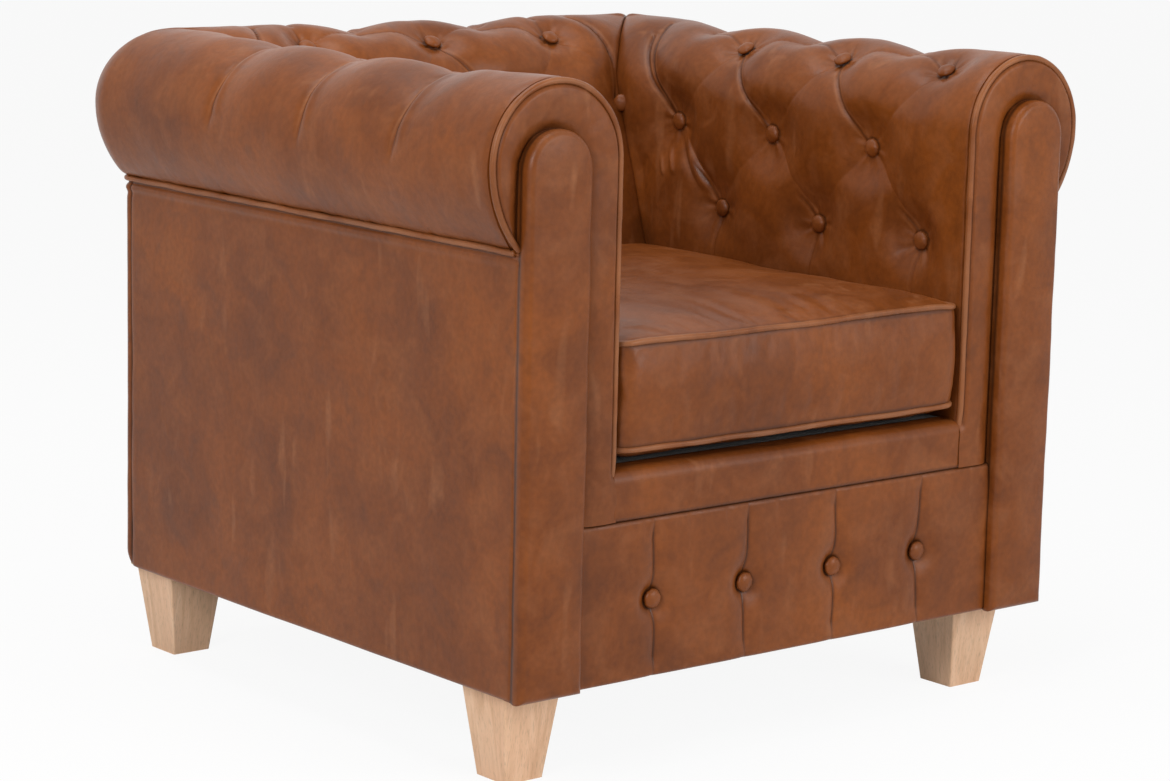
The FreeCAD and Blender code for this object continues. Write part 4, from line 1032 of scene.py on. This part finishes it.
def facing_piping(side):
    low = math.asin((ROLL_Z - JUNCTION_Z) / LOW_R)
    inset = 0.0032
    low_x, reach = ARM_ROLL_X + ROLL_R - LOW_R, LOW_R - inset
    flat = [(low_x + reach * math.cos(a), ROLL_Z - reach * math.sin(a))
            for a in np.linspace(low, 0, 20)]
    flat += arc_points((ARM_ROLL_X, ROLL_Z), ROLL_R - inset, 0, 180, 80)[1:]
    flat += [(ARM_FACE_X + inset, z) for z in np.linspace(ROLL_Z, 0.300, 60)[1:]]
    path = resample([(x, -0.3618, z) for x, z in flat], 0.0025)
    low_end = np.clip((0.330 - path[:, 2]) / 0.028, 0, 1)
    path[:, 1] += 0.0030 * low_end ** 2
    build = Build()
    tube(build, path, 0.0032, seed=7 if side == "left" else 9, uneven=0.07)
    return build.piece("facing_piping_cord_" + side, LEATHER, "chair", ["facing_piping_" + side],
                       side == "left")


# Front under the seat
BORDER_BUTTONS = (-0.186, -0.062, 0.062, 0.186)
BORDER_BUTTON_Z = 0.176


def front_band(seed):
    half = 0.2425
    x = stations(-half, (-0.233, 12), (0.233, 170), (half, 12))
    end = 0.0006 * rounding((half - np.abs(x)) / 0.0085)
    section = [(-0.3605, 0.2596), (-0.3630, 0.2604), (-0.3645, 0.2622), (-0.3652, 0.2650)]
    section += [(-0.3655, z) for z in np.linspace(0.268, 0.297, 14)]
    section += [(y, z) for y, z in arc_points((-0.3510, 0.2980), 0.0144, 180, 90, 12)[1:]]
    section += [(y, 0.3122) for y in np.linspace(-0.3510, -0.3335, 8)[1:]] + [(-0.3330, 0.3108)]
    points, dips = [], []
    for k, (y, z) in enumerate(section):
        wave = 0.0006 * clouds(x, x * 0 + k * 0.004, 0.05, seed)
        wave = wave + 0.0009 * clouds(x, x * 0 + k * 0.002, 0.12, seed + 1)
        free = min(1, k / 5) * (1 if k < len(section) - 3 else 0.3)
        front = max(0.0, min(1.0, (0.304 - z) / 0.01))
        points.append(np.stack([x, y - wave * free * front + end * front, z + wave * free * (1 - front)], 1))
        # Painted shade along the seam with the border.
        dips.append(np.full(len(x), 0.9 * math.exp(-((z - 0.2602) / 0.0022) ** 2)))
    return leather_piece(points, dips, "front_band_leather", "front_band")


def front_border(seed):
    half = 0.2885
    x = np.linspace(-half, half, 420)
    z = stations(BASE_Z, (BASE_Z + 0.01, 8), (SEAM_Z - 0.006, 92), (SEAM_Z, 8))
    xx, zz = np.meshgrid(x, z)
    rest, dip = np.ones_like(xx), np.zeros_like(xx)
    for k, c in enumerate(BORDER_BUTTONS):
        drift = np.random.RandomState(seed + k).uniform(-1, 1, 3)
        up = zz - BORDER_BUTTON_Z
        line = c + 0.0012 * drift[0] + 0.0016 * np.sin(up * 38 + drift[1] * 3) * np.clip(
            np.abs(up) / 0.03, 0, 1) + 0.0010 * drift[2] * up / 0.08
        away = np.abs(xx - line)
        edge = np.clip(np.minimum(SEAM_Z - zz, zz - BASE_Z) / 0.02, 0.35, 1)
        deep = (0.0052 + 0.0035 * bell(up / 0.02)) * edge
        pillow = rounding(away / 0.026)
        rest *= 1 - np.clip(deep / 0.012, 0, 1) * pillow
        pit = np.hypot(xx - c, up)
        rest *= 1 - 0.80 * np.exp(-(np.maximum(pit - 0.008, 0) / 0.010) ** 1.4)
        # Painted shade in the pleats and round the buttons.
        dip = np.maximum(dip, 0.80 * bell(away / 0.0013) * np.clip(deep / 0.005, 0, 1))
        dip = np.maximum(dip, 0.8 * bell((pit - 0.0105) / 0.0016))
    depth = 0.012 * (1 - rest) - 0.0012
    for away, width, deep in ((SEAM_Z - zz, 0.006, 0.0048), (zz - BASE_Z, 0.005, 0.0045)):
        depth = depth + deep * rounding(away / width)
    depth = depth + 0.0018 * bell((SEAM_Z - zz) / 0.02) - 0.0005 * clouds(xx, zz, 0.045, seed + 9)
    gather = np.clip(clouds(xx, zz * 0.2, 0.010, seed + 8), 0, 1)
    depth = depth + 0.0010 * gather * bell((SEAM_Z - zz) / 0.020)
    points = np.stack([xx, BORDER_Y - 0.0005 + np.minimum(depth, 0.0132), zz], 2)
    # Painted shade along the seam under the band and at both ends.
    dip = np.maximum(dip, 0.9 * bell((SEAM_Z - zz) / 0.0020))
    dip = np.maximum(dip, 0.9 * bell((half - np.abs(xx)) / 0.0022))
    return leather_piece(points, dip, "front_border_pad", "front_border")


# Seat cushion
CUSHION_X, CUSHION_FRONT, CUSHION_REAR = 0.2355, -0.362, 0.1495
PIPE_LOW, PIPE_HIGH = 0.330, 0.437
SWELL_STEPS = 20          # frames of the cloth simulation that fills the cushion


def cushion_ring(inset, count_side=64, corner=0.018):
    """Rounded rectangle of the cushion in plan, drawn in by inset."""
    x, y0, y1 = CUSHION_X - inset, CUSHION_FRONT + inset, CUSHION_REAR - inset
    r = max(corner - inset * 0.5, 0.004)
    r = min(r, x, (y1 - y0) / 2)
    points = []
    corners = ((x - r, y1 - r, 0), (-x + r, y1 - r, 90), (-x + r, y0 + r, 180), (x - r, y0 + r, 270))
    for cx, cy, start in corners:
        turn = np.radians(np.linspace(start, start + 90, 13))
        arc = [(cx + r * math.cos(a), cy + r * math.sin(a)) for a in turn]
        if points:
            last = points[-1]
            points += [(last[0] + (arc[0][0] - last[0]) * k, last[1] + (arc[0][1] - last[1]) * k)
                       for k in np.linspace(0, 1, count_side + 1)[1:-1]]
        points += arc
    last, first = points[-1], points[0]
    points += [(last[0] + (first[0] - last[0]) * k, last[1] + (first[1] - last[1]) * k)
               for k in np.linspace(0, 1, count_side + 1)[1:-1]]
    return np.array(points)


def sway(ring, level):
    """How a piping leaves its level: slack at the front corners, and uneven along the front."""
    x, y = ring[:, 0], ring[:, 1]
    front = smooth((-0.300 - y) / 0.05)
    flat = x * 0 + level
    wave = 0.0016 * clouds(x, flat, 0.09, 77) + 0.0009 * clouds(x + y, flat, 0.045, 78)
    corner = -0.0016 * smooth((np.abs(x) - 0.195) / 0.04) * front
    return wave + corner * (1 if level > 0.4 else -0.3)


def vertex_places(mesh):
    at = np.empty(len(mesh.vertices) * 3)
    mesh.vertices.foreach_get("co", at)
    return at.reshape(-1, 3)


def to_piping(at):
    """Distance from the cushion's pipings."""
    away = np.minimum(CUSHION_X - np.abs(at[:, 0]),
                      np.minimum(at[:, 1] - CUSHION_FRONT, CUSHION_REAR - at[:, 1]))
    level = np.minimum(np.abs(at[:, 2] - PIPE_HIGH), np.abs(at[:, 2] - PIPE_LOW))
    return np.hypot(np.maximum(away, 0), level)


def inflate(piece):
    """Fills the cushion by cloth simulation. Its pipings hold still while the leather between them swells."""
    work = bpy.data.objects.new("cushion_cloth", piece.data.copy())
    collection.objects.link(work)
    bpy.context.view_layer.objects.active = work
    remesh = work.modifiers.new("remesh", "REMESH")
    remesh.mode = "VOXEL"
    remesh.voxel_size = 0.0055
    remesh.use_smooth_shade = True
    apply(work)
    mesh = work.data
    start = vertex_places(mesh)
    normals = np.empty(len(mesh.vertices) * 3)
    mesh.vertex_normals.foreach_get("vector", normals)
    start = start + 0.0012 * normals.reshape(-1, 3)
    mesh.vertices.foreach_set("co", start.ravel())
    near = to_piping(start)
    pinned = np.clip(1 - (near - 0.006) / 0.008, 0, 1)
    pinned = np.maximum(pinned, (start[:, 1] > 0.125) & (np.abs(start[:, 2] - 0.3835) < 0.030))
    group = work.vertex_groups.new(name="held")
    for k in np.nonzero(pinned > 0)[0]:
        group.add([int(k)], float(pinned[k]), "REPLACE")
    cloth = work.modifiers.new("cloth", "CLOTH")
    settings = cloth.settings
    settings.quality = 6
    settings.mass = 0.4
    settings.tension_stiffness = 30
    settings.compression_stiffness = 30
    settings.shear_stiffness = 10
    settings.bending_stiffness = 1.2
    settings.shrink_min = -0.004
    settings.use_pressure = True
    settings.uniform_pressure_force = 3.5
    settings.vertex_group_mass = "held"
    settings.effector_weights.gravity = 0
    cloth.collision_settings.use_collision = False
    cloth.point_cache.frame_start = 1
    cloth.point_cache.frame_end = SWELL_STEPS
    scene = bpy.context.scene
    for step in range(1, SWELL_STEPS + 1):
        scene.frame_set(step)
    swollen = work.evaluated_get(bpy.context.evaluated_depsgraph_get()).to_mesh()
    end = vertex_places(swollen)
    work.to_mesh_clear()
    scene.frame_set(1)
    work.modifiers.clear()
    move = end - start
    size = np.linalg.norm(move, axis=1)
    cap = np.where(start[:, 2] > 0.44, 0.0075, np.where(start[:, 2] < 0.325, 0.0015, 0.0030))
    move *= (cap * np.tanh(size / cap) / np.maximum(size, 1e-9))[:, None]
    moved = start + move
    moved[:, 0] = np.clip(moved[:, 0], -0.2388, 0.2388)
    moved[:, 2] = np.maximum(moved[:, 2], 0.3126)
    mesh.vertices.foreach_set("co", moved.ravel())
    smoother = work.modifiers.new("finer", "SUBSURF")
    smoother.levels = 1
    apply(work)
    mesh = work.data
    at = vertex_places(mesh)
    near = to_piping(at)
    # Painted shade beside the pipings, laid again on the swollen mesh.
    if "dip" in mesh.attributes:
        mesh.attributes.remove(mesh.attributes["dip"])
    dip = mesh.attributes.new("dip", "FLOAT", "POINT")
    dip.data.foreach_set("value", (0.6 * bell((near - 0.003) / 0.0025)).astype(np.float32))
    mesh.shade_smooth()
    mesh.materials.clear()
    mesh.materials.append(LEATHER)
    piece.data = mesh
    work.data = bpy.data.meshes.new("spent")
    bpy.data.objects.remove(work)


def apply(piece):
    """Applies the modifiers of a piece to its mesh."""
    bpy.context.view_layer.update()
    made = bpy.data.meshes.new_from_object(piece.evaluated_get(bpy.context.evaluated_depsgraph_get()))
    piece.modifiers.clear()
    piece.data = made


def cushion(seed):
    build = Build()
    limit = min(CUSHION_X, (CUSHION_REAR - CUSHION_FRONT) / 2) - 0.006
    insets = limit * (1 - np.cos(np.linspace(0, math.pi / 2, 44)))

    def top(inset):
        u = np.clip(inset / limit, 0, 1)
        return 0.0145 * (1 - (1 - np.clip(inset / 0.085, 0, 1)) ** 2.6) * (0.80 + 0.20 * u)

    rows, dips = [], []
    for inset in insets[::-1]:
        ring = cushion_ring(inset)
        lift = top(inset)
        x, y = ring[:, 0], ring[:, 1]
        soft = 0.0011 * clouds(x, y, 0.11, seed) + 0.0007 * clouds(x, y, 0.04, seed + 1)
        edge = smooth(inset / 0.03)
        z = PIPE_HIGH + lift + soft * edge + sway(ring, PIPE_HIGH)
        near = bell(inset / 0.02)
        z = z - 0.0008 * near * np.clip(clouds(x + y, x * 0, 0.012, seed + 5), 0, 1)
        rows.append(np.stack([x, y, z], 1))
        # Painted shade beside the top piping.
        dips.append(np.full(len(ring), 0.6 * math.exp(-(inset / 0.003) ** 2)))
    ring = cushion_ring(0)
    for k in np.linspace(0, 1, 26)[1:-1]:
        z = PIPE_HIGH + (PIPE_LOW - PIPE_HIGH) * k
        bulge = math.sin(math.pi * k)
        front = np.clip((-0.340 - ring[:, 1]) / 0.015, 0, 1)
        rear = np.clip((ring[:, 1] - 0.130) / 0.012, 0, 1)
        sides = 1 - np.maximum(front, rear)
        uneven = clouds(ring[:, 0], ring[:, 0] * 0 + k * 0.1, 0.05, seed + 3)
        out_y = -front * 0.0050 * bulge - 0.0006 * front * uneven
        zip_bed = smooth((0.206 - np.abs(ring[:, 0])) / 0.014)
        out_y = out_y - rear * zip_bed * 0.0086 * math.exp(-((k - 0.5) / 0.165) ** 4)
        out_x = sides * np.sign(ring[:, 0]) * 0.0018 * bulge
        level = z + sway(ring, PIPE_HIGH) * (1 - k) + sway(ring, PIPE_LOW) * k
        rows.append(np.stack([ring[:, 0] + out_x, ring[:, 1] + out_y, level], 1))
        # Painted shade beside both pipings.
        near = min(z - PIPE_LOW, PIPE_HIGH - z)
        dips.append(np.full(len(ring), 0.7 * math.exp(-((near - 0.003) / 0.0025) ** 2)))
    for inset in insets:
        ring = cushion_ring(inset)
        drop = 0.0170 * (1 - (1 - np.clip(inset / 0.075, 0, 1)) ** 2.4)
        rows.append(np.stack([ring[:, 0], ring[:, 1], PIPE_LOW - drop + sway(ring, PIPE_LOW)], 1))
        # Painted shade beside the low piping.
        dips.append(np.full(len(ring), 0.6 * math.exp(-(inset / 0.003) ** 2)))
    rows = np.array(rows)
    build.grid(rows, np.array(dips), close_columns=True)
    for row in (rows[0], rows[-1]):
        build.add(row, [tuple(range(len(row)))], None)
    piece = build.piece("seat_cushion_cover", LEATHER, "seat_cushion", ["cushion_cover"])
    inflate(piece)
    for name, z, node, k in (("cushion_piping_cord_high", PIPE_HIGH, "cushion_piping_high", 21),
                             ("cushion_piping_cord_low", PIPE_LOW, "cushion_piping_low", 23)):
        ring = cushion_ring(0)
        path = np.concatenate([ring, np.full((len(ring), 1), z)], 1)
        path[:, 2] += sway(ring, z)
        closed = np.concatenate([path, path[:1]])
        path = resample(closed, 0.0028)[:-1]
        build = Build()
        tube(build, path, 0.0031, True, seed=k, uneven=0.07)
        build.piece(name, LEATHER, "seat_cushion", [node])


# Cloth under the seat, and the zip
def cloth_grid(x, y, z, wave, seed, skip=None):
    xx, yy = np.meshgrid(x, y)
    zz = z + wave * clouds(xx, yy, 0.09, seed) + 0.35 * wave * clouds(xx, yy, 0.03, seed + 1)
    faces = quads(len(y), len(x))
    if skip is not None:
        cx = (xx[:-1, :-1] + xx[1:, 1:]).ravel() / 2
        cy = (yy[:-1, :-1] + yy[1:, 1:]).ravel() / 2
        faces = faces[~skip(cx, cy)]
    build = Build()
    build.add(np.stack([xx, yy, zz], 2), faces)
    return build


def sheets():
    deck = cloth_grid(np.linspace(-0.2395, 0.2395, 110), np.linspace(-0.3330, 0.1535, 110),
                      0.3119, 0.0009, 61)
    piece = deck.piece("deck_lining", CLOTH, "chair", ["deck_cloth"])

    def at_leg(x, y):
        return (np.abs(x) > 0.272) & ((y < -0.258) | (y > 0.264))

    x = stations(-0.363, (-0.272, 16), (0.272, 90), (0.363, 16))
    y = stations(-0.351, (-0.258, 16), (0.264, 88), (0.318, 10))
    dust = cloth_grid(x, y, 0.0984, 0.0007, 63, at_leg)
    piece = dust.piece("dust_lining", CLOTH, "chair", ["dust_cover"])


def zip_pieces():
    """Woven tape and spiral of the zip across the cushion's back."""
    low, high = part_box("cushion_zip_tape")
    x = np.linspace(low[0], high[0], 160)
    z = np.linspace(low[2], high[2], 13)
    xx, zz = np.meshgrid(x, z)
    yy = (low[1] + high[1]) / 2 + 0.0003 * clouds(xx, zz, 0.02, 66)
    build = Build()
    # A darker line along the middle, under the spiral; the tape's cloth material does not read it.
    build.grid(np.stack([xx, yy, zz], 2), 0.5 * bell((zz - z.mean()) / 0.0012))
    build.piece("zip_tape_band", ZIP_TAPE, "seat_cushion", ["cushion_zip_tape"])
    low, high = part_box("cushion_zip_coil")
    turns = int((high[0] - low[0]) / 0.0024)
    k = np.linspace(0, turns, turns * 10)
    mid_y, mid_z = (low[1] + high[1]) / 2, (low[2] + high[2]) / 2
    path = np.stack([low[0] + 0.001 + (high[0] - low[0] - 0.002) * k / turns,
                     mid_y + 0.0006 * np.cos(2 * math.pi * k), mid_z + 0.0024 * np.sin(2 * math.pi * k)], 1)
    build = Build()
    tube(build, path, 0.00045, around=6, uneven=0, pale=False)
    build.piece("zip_spiral", ZIP_COIL, "seat_cushion", ["cushion_zip_coil"], merge=0)


def add_pieces():
    for side, seed in (("right", 1000), ("left", 2000)):
        mirrored = side == "left"
        arm_cover(side, seed)
        arm_seats = seats(ARM, [(ROW_HIGH, t) for t in ARM_HIGH] + [(ROW_MIDDLE, t) for t in ARM_MIDDLE]
                          + [(ROW_LOW, t) for t in ARM_HIGH], "y")
        button_piece("arm_button_set_" + side, arm_seats, "arm_buttons_" + side, mirrored)
        facing(side, seed + 200)
        raised_panel(side, seed + 300)
        outside_arm(side, seed + 400)
        facing_piping(side)
    back_cover(3000)
    back_seats = seats(BACK, [(ROW_HIGH, t) for t in BACK_HIGH] + [(ROW_MIDDLE, t) for t in BACK_MIDDLE]
                       + [(ROW_LOW, t) for t in BACK_HIGH], "x")
    button_piece("back_button_set", back_seats, "back_buttons")
    corner = [((x, 0.2095, 0.6025), (-math.copysign(1, x), -1, 0.1)) for x in (-0.2435, 0.2435)]
    button_piece("corner_button_set", corner, "corner_buttons")
    border = [((x, -0.3583, BORDER_BUTTON_Z), (0, -1, 0)) for x in BORDER_BUTTONS]
    button_piece("border_button_set", border, "border_buttons")
    outside_back(3400)
    sheets()
    zip_pieces()
    roll_welt()
    front_band(3500)
    front_border(3600)
    cushion(3700)


add_pieces()
add_camera()
add_studio()
bpy.context.scene.view_settings.view_transform = "Standard"
